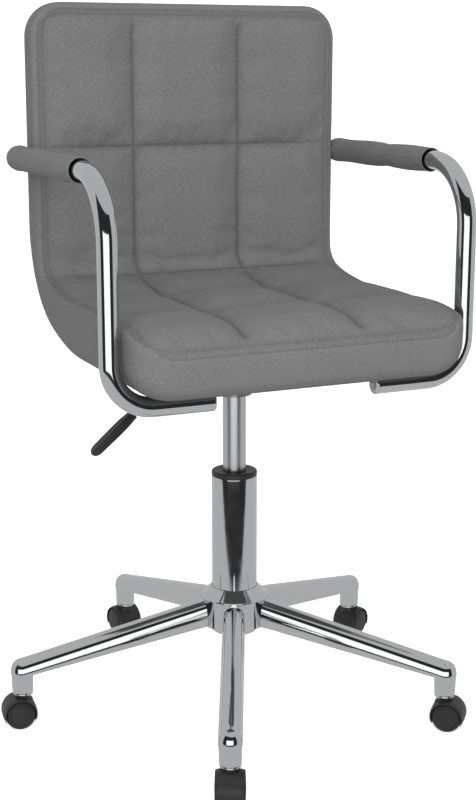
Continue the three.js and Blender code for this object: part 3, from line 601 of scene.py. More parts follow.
def rounded_chart(u, s, half, top, low_radius, high_radius):
    """A rectangle's grid with its corner squares drawn in to quarter discs: in a corner square
    with coordinates a and b, a becomes a times the root of 1 - b*b/2, and b likewise."""
    out_u, out_s = u.copy(), s.copy()
    for sign in (-1.0, 1.0):
        for end, radius in ((0.0, low_radius), (top, high_radius)):
            a = (sign * u - (half - radius)) / radius
            b = (radius - s) / radius if end == 0.0 else (s - (top - radius)) / radius
            inside = (a > 0) & (b > 0)
            drawn_a = a * np.sqrt(np.clip(1 - b * b / 2, 0, 1))
            drawn_b = b * np.sqrt(np.clip(1 - a * a / 2, 0, 1))
            moved_s = radius * (1 - drawn_b) if end == 0.0 else top - radius * (1 - drawn_b)
            out_u = np.where(inside, sign * (half - radius + radius * drawn_a), out_u)
            out_s = np.where(inside, moved_s, out_s)
    return out_u, out_s


def around(grid):
    """The border of a grid, once round from its first corner and back to it."""
    sides = [grid[0, :-1], grid[:-1, -1], grid[-1, :0:-1], grid[::-1, 0]]
    return np.concatenate(sides)


def seam_strength(u, s, columns, rows):
    """How hard each interior seam pulls: fully inside the face, hardly at all where a column
    meets the front and the top edge, and a third where a row meets a side edge."""
    to_side = np.minimum(u - columns[0], columns[-1] - u)
    to_end = np.minimum(s - rows[0], rows[-1] - s)
    column_pull = smooth_step(to_end, 1.0, 20.0)
    row_pull = 0.3 + 0.7 * smooth_step(to_side, 0.0, 60.0)
    return column_pull, row_pull


def quilt_height(u, s, columns, rows, tall):
    """How far the padding stands over the seams. Beside an interior seam it rises as a steep
    roll that flattens 36 mm away, the rolls of a corner multiply, and towards the edge seam the
    padding falls to a little over half its height."""

    def roll(value, lines, reach):
        distance = np.abs(value[..., None] - lines).min(axis=-1)
        t = np.clip(distance / reach, 0, 1)
        return 1 - (1 - t) ** 2.3

    column_pull, row_pull = seam_strength(u, s, columns, rows)
    by_column = 1 - column_pull * (1 - roll(u, columns[1:-1], 36.0))
    by_row = 1 - row_pull * (1 - roll(s, rows[1:-1], 36.0))
    edge = np.minimum(np.minimum(u - columns[0], columns[-1] - u), np.minimum(s - rows[0], rows[-1] - s))
    rim = 0.55 + 0.45 * np.sin(QUARTER * np.clip(edge / 30.0, 0, 1))
    return tall * rim * by_column * by_row


def wall_offsets(depth, upright, side_share):
    """How far the boxing stands outside the edge seam at each depth, from 0 at the face to 1 at
    the rear. The back's is a flat band with eased edges, the seat's sides end in a quarter
    circle below, and the seat's front ends in a smaller one."""
    ease = [0, 0.02, 0.05, 0.1, 0.2]
    back = np.interp(
        depth, [*ease, 0.72, 0.84, 0.92, 0.97, 1], [0, 3.8, 5.8, 7.2, 8, 8, 7.2, 5.4, 3.2, 0]
    )
    turn = np.linspace(0, QUARTER, 9)
    side = np.interp(
        depth, [0, 0.012, 0.03, 0.07, 0.13, *(1 - 0.54 * (1 - np.sin(turn)))],
        [0, 3.4, 5.8, 7.3, 8, *(8 - 37 * (1 - np.cos(turn)))]
    )
    front = np.interp(
        depth, [0, 0.03, 0.1, 0.3, 0.6, 0.72, 0.8, 0.88, 0.94, 0.98, 1],
        [0, 1.2, 1.9, 2.2, 1.8, 1.0, 0.1, -2.4, -5.0, -8.6, -12]
    )
    seat = side_share * side + (1 - side_share) * front
    return upright * back + (1 - upright) * seat


def cover_points(shell, sizes):
    """The cover as a face, a boxing and a rear that share their borders, with the seam marks of
    the face and the flat coordinates of all three."""
    band = sizes.seam_band / MM
    columns, rows = seam_lines(shell, band)
    u_lines = spaced(-FACE_HALF, FACE_HALF, columns, 6.5)
    s_lines = spaced(0.0, shell.length, rows, 6.5)
    u, s = np.meshgrid(u_lines, s_lines)
    chart_u, chart_s = rounded_chart(u, s, FACE_HALF, shell.length, CORNER_FRONT, CORNER_TOP)
    upright = shell.uprightness(chart_s)
    tall = (sizes.seat_puff + (sizes.back_puff - sizes.seat_puff) * upright) / MM
    puff = quilt_height(u, s, columns, rows, tall)
    outline = shell.on_face(chart_s)
    normal = shell.face_normal(chart_s)
    face_yz = outline + puff[..., None] * normal
    face = np.concatenate([chart_u[..., None], face_yz], axis=-1)
    # the rear is the same grid with tighter corners, drawn in where the seat rounds under
    inset = SEAT_INSET * (1 - upright)
    rear_u, rear_s = rounded_chart(u, s, FACE_HALF, shell.length, CORNER_UNDER, CORNER_TOP)
    rear_u = rear_u * (1 - inset / FACE_HALF)
    rear = np.concatenate([rear_u[..., None], shell.on_rear(rear_s)], axis=-1)
    top, bottom = around(face), around(rear)
    edge_u, edge_s = around(chart_u), around(chart_s)
    out_u, out_s = outward(edge_u, edge_s, shell.length)
    ring_up = around(upright)
    depths = np.concatenate([[0, 0.012, 0.03, 0.06, 0.11, 0.2, 0.31], np.linspace(0.42, 0.9, 9)])
    depths = np.concatenate([depths, [0.93, 0.96, 0.985, 1.0]])
    depth = depths[:, None]
    share = (out_u**2)[None]
    stand = wall_offsets(depth, ring_up[None], share)
    drawn_in = share * around(inset)[None] + (1 - share) * FRONT_INSET * (1 - ring_up[None])
    stand = stand + drawn_in * depth
    rise = ring_up * out_s
    level = (1 - ring_up) * out_s
    away = np.stack([out_u, level, rise], axis=-1)
    wall = top[None] + depth[..., None] * (bottom - top)[None] + stand[..., None] * away[None]
    wall[0], wall[-1] = top, bottom
    face_flat = np.stack([chart_u, chart_s], axis=-1) * MM
    rear_flat = np.stack([chart_u, chart_s + 2 * shell.length], axis=-1) * MM
    run = polyline_map(np.stack([edge_u, edge_s], axis=-1))
    drop = polyline_map(wall[:, len(run) // 3])
    wall_flat = np.stack(np.broadcast_arrays(run[None], drop[:, None]), axis=-1) * MM
    return {
        "patches": [(face, face_flat), (wall, wall_flat), (rear, rear_flat)], "u": u, "s": s,
        "columns": columns, "rows": rows
    }


def outward(u, s, top):
    """The direction out of the rounded face's border, in its own flat coordinates."""
    low_u = np.abs(u) - (FACE_HALF - CORNER_FRONT)
    low_s = CORNER_FRONT - s
    high_u = np.abs(u) - (FACE_HALF - CORNER_TOP)
    high_s = s - (top - CORNER_TOP)
    at_low, at_high = (low_u > 0) & (low_s > 0), (high_u > 0) & (high_s > 0)
    side = np.abs(u) > FACE_HALF - 1e-6
    x = np.where(at_low, low_u, np.where(at_high, high_u, np.where(side, 1.0, 0.0)))
    y = np.where(at_low, -low_s, np.where(at_high, high_s, np.where(side, 0.0, 1.0)))
    y = np.where(~at_low & ~at_high & ~side & (s < top / 2), -1.0, y)
    size = np.hypot(x, y)
    return np.sign(u) * x / size, y / size


def read_points(mesh):
    points = np.empty(len(mesh.vertices) * 3, np.float32)
    mesh.vertices.foreach_get("co", points)
    return points.reshape(-1, 3).astype(float)


def write_points(mesh, points):
    mesh.vertices.foreach_set("co", points.astype(np.float32).ravel())
    mesh.update()


# Upholstery cloth over foam: hard to stretch, easy to bend, and heavily damped
CLOTH = {
    "quality": 6, "mass": 0.3, "tension_stiffness": 25, "compression_stiffness": 12, "shear_stiffness": 8,
    "bending_stiffness": 0.6, "tension_damping": 8, "compression_damping": 8, "shear_damping": 8
}


def inflate(piece, held, caps, pressure, grow, frames=18):
    """Fills a sewn cover with air: the held points stay, the cloth between them is cut a little
    large, swells and wrinkles, and no point moves further than its cap, in metres."""
    rest = read_points(piece.data)
    group = piece.vertex_groups.new(name="sewn")
    for weight in np.unique(held[held > 0]):
        group.add(np.flatnonzero(held == weight).tolist(), float(weight), "REPLACE")
    cloth = piece.modifiers.new("air", "CLOTH")
    settings = cloth.settings
    for key, value in CLOTH.items():
        setattr(settings, key, value)
    settings.use_pressure = True
    settings.uniform_pressure_force = pressure
    settings.shrink_min = -grow
    settings.vertex_group_mass = "sewn"
    settings.effector_weights.gravity = 0
    cloth.point_cache.frame_start = 1
    cloth.point_cache.frame_end = frames
    scene = bpy.context.scene
    for number in range(1, frames + 1):
        scene.frame_set(number)
    shape = piece.evaluated_get(bpy.context.evaluated_depsgraph_get())
    blown = read_points(shape.data)
    piece.modifiers.remove(cloth)
    piece.vertex_groups.remove(group)
    scene.frame_set(1)
    move = blown - rest
    size = np.linalg.norm(move, axis=1)
    limit = np.where(size > 0, np.minimum(1.0, caps / np.maximum(size, 1e-9)), 1.0)
    write_points(piece.data, rest + move * limit[:, None])


def point_values(mesh, name, values):
    layer = mesh.attributes.new(name, "FLOAT", "POINT")
    layer.data.foreach_set("value", np.asarray(values, np.float32))


def nearest_rows(points, targets):
    """For each point, the index of the target that it lies on, by sorted rounded keys."""
    key = np.round(np.concatenate([targets, points]) / (4e-6)).astype(np.int64)
    _, inverse = np.unique(key, axis=0, return_inverse=True)
    inverse = inverse.ravel()
    first = np.full(inverse.max() + 1, -1)
    first[inverse[: len(targets)]] = np.arange(len(targets))
    return first[inverse[len(targets) :]]


def painted_seam_shade(u, s, columns, rows, top):
    """Painted shade for the seam valleys: how dark the cloth is painted in its seams, and each point's
    distance from the nearest one. The painted shade is a narrow line in a wider soft one."""
    distance, painted_shade = np.full(len(u), 1e3), np.zeros(len(u))
    pulls = seam_strength(u, s, columns, rows)
    inside = (u > columns[0] - 0.1) & (u < columns[-1] + 0.1) & (s > rows[0] - 0.1) & (s < rows[-1] + 0.1)
    seams = [(u, line, pulls[0] * inside) for line in columns[1:-1]]
    seams += [(s, line, pulls[1] * inside) for line in rows[1:-1]]
    level = (s > rows[0]) & (s < rows[-1])
    upright = (u > columns[0]) & (u < columns[-1])
    seams += [(u, line, 0.55 * level) for line in (columns[0], columns[-1], -FACE_HALF, FACE_HALF)]
    seams += [(s, line, 0.55 * upright) for line in (rows[0], rows[-1], 0.0, top)]
    for value, line, strength in seams:
        away = np.abs(value - line)
        shade = strength * (0.55 * np.exp(-((away / 1.3) ** 2)) + 0.45 * np.exp(-((away / 4.5) ** 2)))
        painted_shade = np.maximum(painted_shade, shade)
        distance = np.minimum(distance, np.where(strength > 0.01, away, 1e3))
    return painted_shade, distance


class CHAIR_OT_cover(bpy.types.Operator):
    """Build the quilted cover of the seat and back"""

    bl_idname = "chair.cover"
    bl_label = "Seat and Back Cover"

    def execute(self, context):
        sizes = context.scene.chair_cover
        shell = Shell()
        made = cover_points(shell, sizes)
        piece = build(
            "seat_back_cover", made["patches"], finishes()["woven_polyester"], "seat",
            ["upholstery"], sharp=75.0
        )
        flat_u, flat_s = made["u"].ravel(), made["s"].ravel()
        face_points = made["patches"][0][0].reshape(-1, 3) * MM + AXIS
        rows = nearest_rows(read_points(piece.data), face_points.astype(np.float32).astype(float))
        on_face = rows >= 0
        u = np.where(on_face, flat_u[rows], 1e4)
        s = np.where(on_face, flat_s[rows], 1e4)
        painted_shade, seam = painted_seam_shade(u, s, made["columns"], made["rows"], shell.length)
        held = np.where(on_face & (seam > 1.0), 0.0, 1.0)
        caps = np.where(on_face, COVER_SWELL * MM, 0.0)
        inflate(piece, held, caps, pressure=4.0, grow=0.02)
        # the seam attribute holds the painted shade of the seam valleys
        point_values(piece.data, "seam", painted_shade)
        modifier = piece.modifiers.new("smooth_cloth", "SUBSURF")
        modifier.levels = modifier.render_levels = 1
        return {"FINISHED"}


# ---- arms ------------------------------------------------------------------------------

ARM_X, ARM_Y, ARM_LOW, ARM_HIGH = 214.4, -163.0, 427.0, 669.0
ARM_END, ARM_REAR = 98.5, 152.0
LOW_BEND, HIGH_BEND = 48.0, 70.0
SLEEVE_MOUTH, SLEEVE_END = -84.0, 161.5
SLEEVE_RING = SLEEVE_END - 33.0  # where the sleeve is gathered on the tube
SLEEVE_SWELL = 0.8  # how far the air may move a sleeve's cloth


def arm_path():
    """The left arm's centreline: out along X, up through a quarter circle, and back along Y
    through a wider one."""
    run = np.linspace((ARM_END, ARM_Y, ARM_LOW), (ARM_X - LOW_BEND, ARM_Y, ARM_LOW), 6)
    run = np.insert(run, 1, run[0] + (1.6, 0, 0), axis=0)
    low = arc((ARM_X - LOW_BEND, ARM_Y, ARM_LOW + LOW_BEND), (0, 0, -LOW_BEND), (LOW_BEND, 0, 0), 22)
    centre = (ARM_X, ARM_Y + HIGH_BEND, ARM_HIGH - HIGH_BEND)
    high = arc(centre, (0, -HIGH_BEND, 0), (0, 0, HIGH_BEND), 26)
    post = np.linspace(low[-1], high[0], 12)
    rest = np.linspace(high[-1], (ARM_X, ARM_REAR, ARM_HIGH), 12)
    return np.concatenate([run[:-1], low, post[1:-1], high, rest[1:]])


def pipe(path, radius, wall, edge, sides, reference):
    """A tube with a wall: the outer skin, the eased end, the inner skin and the other end, as
    one closed sheet of rings about the path."""
    n = len(path)
    order = np.concatenate([[0, 0, 0], np.arange(n), [n - 1] * 3, np.arange(n)[::-1], [0]])
    inner = radius - wall
    ends = [inner, radius - edge, radius - 0.3 * edge]
    radii = np.concatenate([ends, np.full(n, radius), ends[::-1], np.full(n, inner), [inner]])
    back = [0.0, 0.0, 0.3 * edge]
    push = np.concatenate([back, [edge], np.zeros(n - 2), [-edge], -np.array(back[::-1])])
    push = np.concatenate([push, np.zeros(n + 1)])
    side, lift = path_frame(path, reference)
    tangent = np.cross(side, lift)
    ring = circle(1.0, sides)
    centre = path[order] + push[:, None] * tangent[order]
    spokes = ring[None, :, :1] * side[order][:, None] + ring[None, :, 1:] * lift[order][:, None]
    return centre[:, None] + radii[:, None, None] * spokes


def slab(low, high, edge, steps=3):
    """A box with eased edges, as a closed lofted outline: the outline in X and Y is carried up
    in Z and drawn in at the top and bottom."""
    low, high = np.array(low, float), np.array(high, float)
    centre, half = (low + high) / 2, (high - low) / 2
    corners = np.array([[1, 0.0], [1, 1], [-1, 1], [-1, -1], [1, -1], [1, 0]]) * half[:2]
    rise = np.sin(np.linspace(0, QUARTER, steps))
    inset = np.concatenate([edge * (1 - rise), edge * (1 - rise[::-1])])
    height = np.concatenate([-half[2] + edge * (1 - np.cos(np.linspace(0, QUARTER, steps)))] * 2)
    height[steps:] = -height[:steps][::-1]
    rings = [rounded(corners * (1 - i / half[:2].min() * 0.999), 2 * edge, steps) for i in inset]
    body = np.stack([np.column_stack([r, np.full(len(r), h)]) for r, h in zip(rings, height)])
    return np.concatenate([body[:1] * [0, 0, 1], body, body[-1:] * [0, 0, 1]]) + centre


def mirrored(points, side):
    return points * np.array([side, 1.0, 1.0])


class CHAIR_OT_arms(bpy.types.Operator):
    """Build the bent chromed arm tubes with their tabs and end plugs"""

    bl_idname = "chair.arms"
    bl_label = "Arm Tubes"

    def execute(self, context):
        sizes = context.scene.chair_metal
        path = arm_path()
        radius, wall, edge = sizes.arm_radius / MM, sizes.arm_wall / MM, sizes.edge / MM
        tube = pipe(path, radius, wall, edge, 48, (1.0, -1.0, 0.0))
        tab_low, tab_high = (108.0, -161.0, 435.2), (164.0, -112.0, 438.0)
        cap = rounded(
            [(0, -1.2), (radius - 2.4, -1.2), (radius - 0.3, -0.2), (radius - 0.3, 0.5), (0, 0.5)], 1.4
        )
        for label, side in SIDES.items():
            build(
                f"arm_{label}", [mirrored(tube, side)], finishes()["bright_chromium"], "seat",
                [f"arm_tube_{label}"]
            )
            build(
                f"arm_tab_{label}", [mirrored(slab(tab_low, tab_high, 0.5), side)],
                finishes()["bright_chromium"], "seat"
            )
            plug = shifted(along_x(turned(cap, 48)), ARM_END, ARM_Y, ARM_LOW)
            build(
                f"arm_end_{label}", [mirrored(plug, side)], finishes()["bright_chromium"], "seat",
                [f"arm_plug_{label}"]
            )
        return {"FINISHED"}


def sleeve_points(radius):
    """A padded sleeve about the armrest: rings along Y whose radius follows the rounded rear
    end, slight gathers along the run and the turned-in mouth."""
    rear = SLEEVE_END
    turn = np.linspace(0, QUARTER, 14)
    ball = np.column_stack([rear - radius * (1 - np.cos(turn)), radius * np.sin(turn)])
    seam_at = SLEEVE_RING
    run = np.concatenate(
        [
            np.linspace(rear - radius - 4, seam_at + 4, 4),
            seam_at + np.array([2.4, 1.2, 0.0, -1.2, -2.4]),
            np.linspace(seam_at - 6, SLEEVE_MOUTH + 9, 34), SLEEVE_MOUTH + np.array([6.0, 4.6, 3.2, 1.6])
        ]
    )
    groove = 0.15 * np.exp(-(((run - seam_at) / 1.1) ** 2))
    hem = 0.6 * np.exp(-(((run - SLEEVE_MOUTH - 6.0) / 1.2) ** 2))
    swell = 0.45 * np.sin((run - seam_at) / 15.0) + 0.3 * smooth_step(run, -60.0, 140.0) - 0.25
    body = np.column_stack([run, radius + swell - groove - hem])
    lip = np.column_stack(
        [
            SLEEVE_MOUTH + np.array([0.6, 0.0, 0.3, 1.0, 14.0, 16.0, 16.0]),
            radius - np.array([0.35, 0.9, 1.5, 1.8, 2.2, 3.2, radius - 1e-3])
        ]
    )
    return np.concatenate([ball, body, lip])


class CHAIR_OT_sleeves(bpy.types.Operator):
    """Build the padded fabric sleeves of the armrests"""

    bl_idname = "chair.sleeves"
    bl_label = "Armrest Sleeves"

    def execute(self, context):
        radius = context.scene.chair_cover.sleeve_radius / MM
        outline = sleeve_points(radius)
        grid = along_y(turned(outline[:, ::-1], 56))
        grid = shifted(grid, ARM_X, 0.0, ARM_HIGH)
        for label, side in SIDES.items():
            piece = build(
                f"armrest_sleeve_{label}", [mirrored(grid, side)], finishes()["woven_polyester"], "seat",
                [f"arm_sleeve_{label}"], sharp=80.0
            )
            points = read_points(piece.data)
            local = (points - AXIS) / MM
            y = local[:, 1]
            radial = np.hypot(np.abs(local[:, 0]) - ARM_X, local[:, 2] - ARM_HIGH)
            outer = radial > radius - 1.6
            ring = np.abs(y - SLEEVE_RING) < 0.6
            held = np.where(outer & ~ring & (y > SLEEVE_MOUTH + 7), 0.0, 1.0)
            caps = np.where(outer, SLEEVE_SWELL * MM, 0.0)
            inflate(piece, held, caps, pressure=2.0, grow=0.015, frames=10)
            # painted shade: the turned-in cloth inside the sleeve's mouth is darkened in full, as shade in
            # the recess
            painted_shade = np.where(radial < radius - 1.7, 1.0, 0.0)
            point_values(piece.data, "seam", painted_shade)
            modifier = piece.modifiers.new("smooth_cloth", "SUBSURF")
            modifier.levels = modifier.render_levels = 1
        return {"FINISHED"}


# ---- base and column -------------------------------------------------------------------

HUB_RADIUS, HUB_LOW, HUB_SHOULDER, HUB_TOP = 41.0, 103.0, 139.0, 151.0
STEM_CIRCLE, LEG_HALF = 266.0, 13.6
LEG_TOP, LEG_FOOT = (135.0, 85.0), (103.5, 66.0)
SOCKET_LOW, SOCKET_RADIUS = 40.0, 12.2
COLUMN_RADIUS = 27.6


def arc_rise(radius, start, end, steps):
    """Steps out and down along an arc whose normal tips from start to end degrees above level.
    Each step is the radius times the change of the cosine and of the sine."""
    tip = np.radians(np.linspace(start, end, steps))
    out = radius[:, None] * (np.cos(tip) - np.cos(tip[0]))[None]
    down = radius[:, None] * (np.sin(tip[0]) - np.sin(tip))[None]
    return out, down


def leg_side(half, height):
    """One side of the legs' section from the ridge down: a crown, a flank of wider radius and a
    nearly upright skirt that tucks in a little. The three arcs add up to the half width and the
    height. One row for each station."""
    flank = 1.24 * height
    crown = (half - 0.041 * flank) / 0.958
    left = height - 0.714 * crown - 0.246 * flank
    skirt = left / 0.127
    parts = [arc_rise(crown, 90, 16.6, 14), arc_rise(flank, 16.6, 2.3, 7), arc_rise(skirt, 2.3, -5, 6)]
    out, down = parts[0]
    for more_out, more_down in parts[1:]:
        out = np.concatenate([out, out[:, -1:] + more_out[:, 1:]], axis=1)
        down = np.concatenate([down, down[:, -1:] + more_down[:, 1:]], axis=1)
    return out, down


def leg_skin(half, inset):
    """The pressed leg along +X: the section carried over the sloping run, then turned half
    round the caster's stem to close the end."""
    run = np.linspace(36.0, STEM_CIRCLE, 30)
    slope = np.clip((run - HUB_RADIUS) / (STEM_CIRCLE - HUB_RADIUS), 0, 1)
    top = LEG_TOP[0] + (LEG_TOP[1] - LEG_TOP[0]) * (run - HUB_RADIUS) / (STEM_CIRCLE - HUB_RADIUS)
    foot = LEG_FOOT[0] + (LEG_FOOT[1] - LEG_FOOT[0]) * slope
    top, foot = top - inset, foot + 0.4 * inset
    out, down = leg_side(half, top - foot)
    height = top[:, None] - down
    ones = np.ones_like(out)
    left = np.stack([run[:, None] * ones, -out, height], axis=2)[:, ::-1]
    right = np.stack([run[:, None] * ones, out, height], axis=2)
    straight = np.concatenate([left, right[:, 1:]], axis=1)
    turn = np.linspace(0, math.pi, 33)[:, None] - QUARTER
    x, y = STEM_CIRCLE + out[-1] * np.cos(turn), out[-1] * np.sin(turn)
    nose = np.stack([x, y, np.broadcast_to(height[-1], x.shape)], axis=2)
    return straight, nose


class CHAIR_OT_base(bpy.types.Operator):
    """Build the hub and the five pressed legs with their caster sockets"""

    bl_idname = "chair.base"
    bl_label = "Base"

    def execute(self, context):
        sizes = context.scene.chair_metal
        wall, edge = sizes.leg_wall / MM, sizes.edge / MM
        chrome = finishes()["bright_chromium"]
        bore = COLUMN_RADIUS + 0.2
        hub = rounded(
            [
                (bore, 110.0), (bore, HUB_LOW), (HUB_RADIUS, HUB_LOW), (HUB_RADIUS, HUB_SHOULDER),
                (bore + 0.9, HUB_TOP), (bore, HUB_TOP), (bore, 110.0)
            ],
            edge
        )
        build("hub", [turned(hub, 120)], chrome, "base", ["base_hub"])
        (outer, outer_nose), (inner, inner_nose) = leg_skin(LEG_HALF, 0.0), leg_skin(LEG_HALF - wall, wall)
        lips = [np.stack([outer[:, k], inner[:, k]], axis=1) for k in (0, -1)]
        lips += [np.stack([outer_nose[:, -1], inner_nose[:, -1]], axis=1)]
        root = np.stack([outer[0], inner[0]], axis=0)
        top = LEG_FOOT[1] + 6.0
        rim = LEG_HALF * 0.985
        post = rounded(
            [
                (0, top), (rim - 0.5, top), (rim - 0.3, LEG_FOOT[1] + 1.0),
                (SOCKET_RADIUS + 0.3, SOCKET_LOW + 4.8), (SOCKET_RADIUS - 0.3, SOCKET_LOW + 3.8),
                (SOCKET_RADIUS + 0.2, SOCKET_LOW + 2.6), (SOCKET_RADIUS - 0.8, SOCKET_LOW),
                (5.4, SOCKET_LOW), (5.4, SOCKET_LOW + 8), (0, SOCKET_LOW + 8)
            ],
            1.2
        )
        socket = shifted(turned(post, 64), x=STEM_CIRCLE)
        skins = (outer, outer_nose, inner, inner_nose, *lips, root, socket)
        for k in CASTERS:
            spot = middle(f"caster_stem_{k}")
            angle = math.atan2(spot[1], spot[0])
            patches = [about_z(p, angle) for p in skins]
            build(f"leg_{k}", patches, chrome, "base", [f"base_leg_{k}"], sharp=50.0)
        return {"FINISHED"}


class CHAIR_OT_column(bpy.types.Operator):
    """Build the column, its collar and the gas lift's chromed cylinder"""

    bl_idname = "chair.column"
    bl_label = "Column and Gas Lift"

    def execute(self, context):
        edge = context.scene.chair_metal.edge / MM
        low, high = (p.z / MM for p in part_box("column_tube"))
        tube = rounded(
            [
                (9.0, low + 4), (9.0, low), (COLUMN_RADIUS, low), (COLUMN_RADIUS, high), (25.0, high),
                (25.0, low + 4), (9.0, low + 4)
            ],
            edge
        )
        chrome = finishes()["bright_chromium"]
        build("column", [turned(tube, 120)], chrome, "base", ["column_tube"])
        collar_low, collar_high = (p.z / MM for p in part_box("column_collar"))
        brim = collar_high - 6.0
        collar = rounded(
            [
                (14.3, collar_high - 1.4), (14.3, collar_low), (24.6, collar_low), (24.6, brim),
                (COLUMN_RADIUS, brim), (COLUMN_RADIUS, collar_high - 1.2),
                (COLUMN_RADIUS - 1.6, collar_high), (19.5, collar_high), (18.5, collar_high - 0.7),
                (16.0, collar_high - 0.7), (14.3, collar_high - 1.4)
            ],
            0.6
        )
        build(
            "collar", [turned(collar, 120)], finishes()["polypropylene"], "base",
            ["column_collar"]
        )
        low, high = (p.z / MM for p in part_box("gas_cylinder"))
        lift = rounded(
            [
                (5.3, low + 5), (5.3, low), (14.0, low), (14.0, high), (3.3, high), (3.3, high - 5),
                (11.5, high - 5), (11.5, low + 5), (5.3, low + 5)
            ],
            1.0
        )
        build(
            "lift_cylinder", [turned(lift, 96)], finishes()["ground_chromium"], "seat",
            ["gas_cylinder"]
        )
        return {"FINISHED"}


# ---- casters ---------------------------------------------------------------------------

WHEEL_RADIUS, TRAIL = 18.0, 5.0
HOOD_RADIUS, HOOD_INNER, HOOD_HALF = 20.7, 19.0, 16.5


def hood_points():
    """The hood about the wheels' axle, along Y: an outer and an inner skin over 230 degrees
    whose radius eases down towards the two open sides, joined along all four edges."""
    angle = np.radians(np.linspace(-25, 205, 48))
    across = np.linspace(-1, 1, 17)
    barrel = 1.1 * np.abs(across) ** 3 + 0.5 * np.abs(across) ** 10
    tail = 0.7 * smooth_step(np.abs(np.degrees(angle) - 90), 95, 115)
    outer = HOOD_RADIUS - barrel[None] - tail[:, None]
    inner = np.full_like(outer, HOOD_INNER) - 0.45 * barrel[None]
    y = np.broadcast_to(HOOD_HALF * across[None], outer.shape)

    def skin(radius):
        x = radius * np.cos(angle)[:, None]
        z = radius * np.sin(angle)[:, None]
        return np.stack([x, y, z], axis=2)

    shell, lining = skin(outer), skin(inner)
    edges = [np.stack([shell[k], lining[k]], axis=0) for k in (0, -1)]
    edges += [np.stack([shell[:, k], lining[:, k]], axis=1) for k in (0, -1)]
    return [shell, lining, *edges]


def rib_points(half):
    """The plate between the wheels: a half disc above the axle and a short stub below it."""
    angle = np.linspace(0, 2 * math.pi, 73)
    reach = np.where(np.sin(angle) >= -0.02, HOOD_INNER + 0.6, 8.0)
    reach = np.where(np.sin(angle) < -0.3, 7.0, reach)
    rim = np.stack([reach * np.cos(angle), reach * np.sin(angle)], axis=1)
    rings = [0.0 * rim, rim, rim, 0.0 * rim]
    depth = [-half, -half, half, half]
    return np.stack([np.column_stack([r[:, 0], np.full(73, d), r[:, 1]]) for r, d in zip(rings, depth)])


class CHAIR_OT_casters(bpy.types.Operator):
    """Build the five twin-wheel casters"""

    bl_idname = "chair.casters"
    bl_label = "Casters"

    def execute(self, context):
        boss = rounded([(0, 39.3), (9.5, 39.3), (9.5, 36.0), (12.0, 33.0), (0, 33.0)], 1.0)
        wheel = rounded(
            [
                (2.8, 3.4), (WHEEL_RADIUS - 0.6, 3.4), (WHEEL_RADIUS, 4.2), (WHEEL_RADIUS, 12.6),
                (WHEEL_RADIUS - 1.2, 15.4), (WHEEL_RADIUS - 3.6, 16.9), (13.4, 16.6), (12.9, 16.1),
                (12.4, 16.7), (6.0, 17.2), (0, 17.3)
            ],
            1.1
        )
        wheel = np.concatenate([[(0, 3.4)], wheel])
        for k in CASTERS:
            stem = middle(f"caster_stem_{k}")
            angle = math.atan2(stem[1], stem[0])

            def placed(points):
                return about_z(shifted(points, x=STEM_CIRCLE), angle)

            axle_level = [shifted(p, x=TRAIL, z=WHEEL_RADIUS) for p in (*hood_points(), rib_points(2.8))]
            build(
                f"caster_cover_{k}",
                [placed(p) for p in axle_level] + [placed(turned(boss, 48))],
                finishes()["polypropylene"],
                f"caster_{k}",
                [f"caster_hood_{k}"],
            )
            for label, side in (("a", -1.0), ("b", 1.0)):
                disc = along_y(turned(wheel * [1.0, side], 72))
                build(
                    f"wheel_{k}{label}", [placed(shifted(disc, x=TRAIL, z=WHEEL_RADIUS))],
                    finishes()["nylon"], f"wheel_{k}{label}",
                    [f"caster_wheel_{k}{label}"]
                )
        return {"FINISHED"}


# ---- lever and fittings ----------------------------------------------------------------

LEVER_Z, LEVER_BEND, NECK, TIP = 426.0, -74.0, (-129.0, 380.0), (-181.0, 336.0)


def paddle_points(neck, tip):
    """The grip: a rounded-square section carried from the neck to the tip. Its half width and
    half thickness swell from the neck and close over the tip as a quarter ellipse, and a
    shallow panel is pressed into both faces."""
    neck, tip = np.asarray(neck, float), np.asarray(tip, float)
    closing = 1 - 0.14 * (1 - np.sin(np.linspace(0, QUARTER, 12)))[1:]
    t = np.concatenate([[0, 0.004], np.linspace(0.02, 0.86, 34), closing])
    close = np.sqrt(np.clip(1 - np.clip((t - 0.86) / 0.14, 0, 1) ** 2, 0, 1))
    open_up = smooth_step(t, -0.05, 0.3)
    half = (5.6 + 2.6 * open_up) * close
    thick = (4.9 + 0.8 * open_up - 0.7 * smooth_step(t, 0.4, 1)) * close
    half[0], thick[0] = 0.0, 0.0
    angle = np.linspace(0, 2 * math.pi, 65)
    power = 0.5
    a = np.sign(np.cos(angle)) * np.abs(np.cos(angle)) ** power
    b = np.sign(np.sin(angle)) * np.abs(np.sin(angle)) ** power
    panel = smooth_step(t, 0.16, 0.2) * (1 - smooth_step(t, 0.84, 0.88))
    press = 0.9 * panel[:, None] * (1 - smooth_step(np.abs(a), 0.5, 0.62))[None]
    section = np.stack([half[:, None] * a[None], (thick[:, None] - press) * b[None]], axis=2)
    path = np.stack([neck[0] + (tip - neck)[0] * t, 0 * t, neck[1] + (tip - neck)[1] * t], axis=1)
    direction = np.array([tip[0] - neck[0], 0, tip[1] - neck[1]])
    direction /= np.linalg.norm(direction)
    side, lift = np.array([0.0, 1.0, 0.0]), np.cross(direction, [0.0, 1.0, 0.0])
    return path[:, None] + section[..., :1] * side + section[..., 1:] * lift


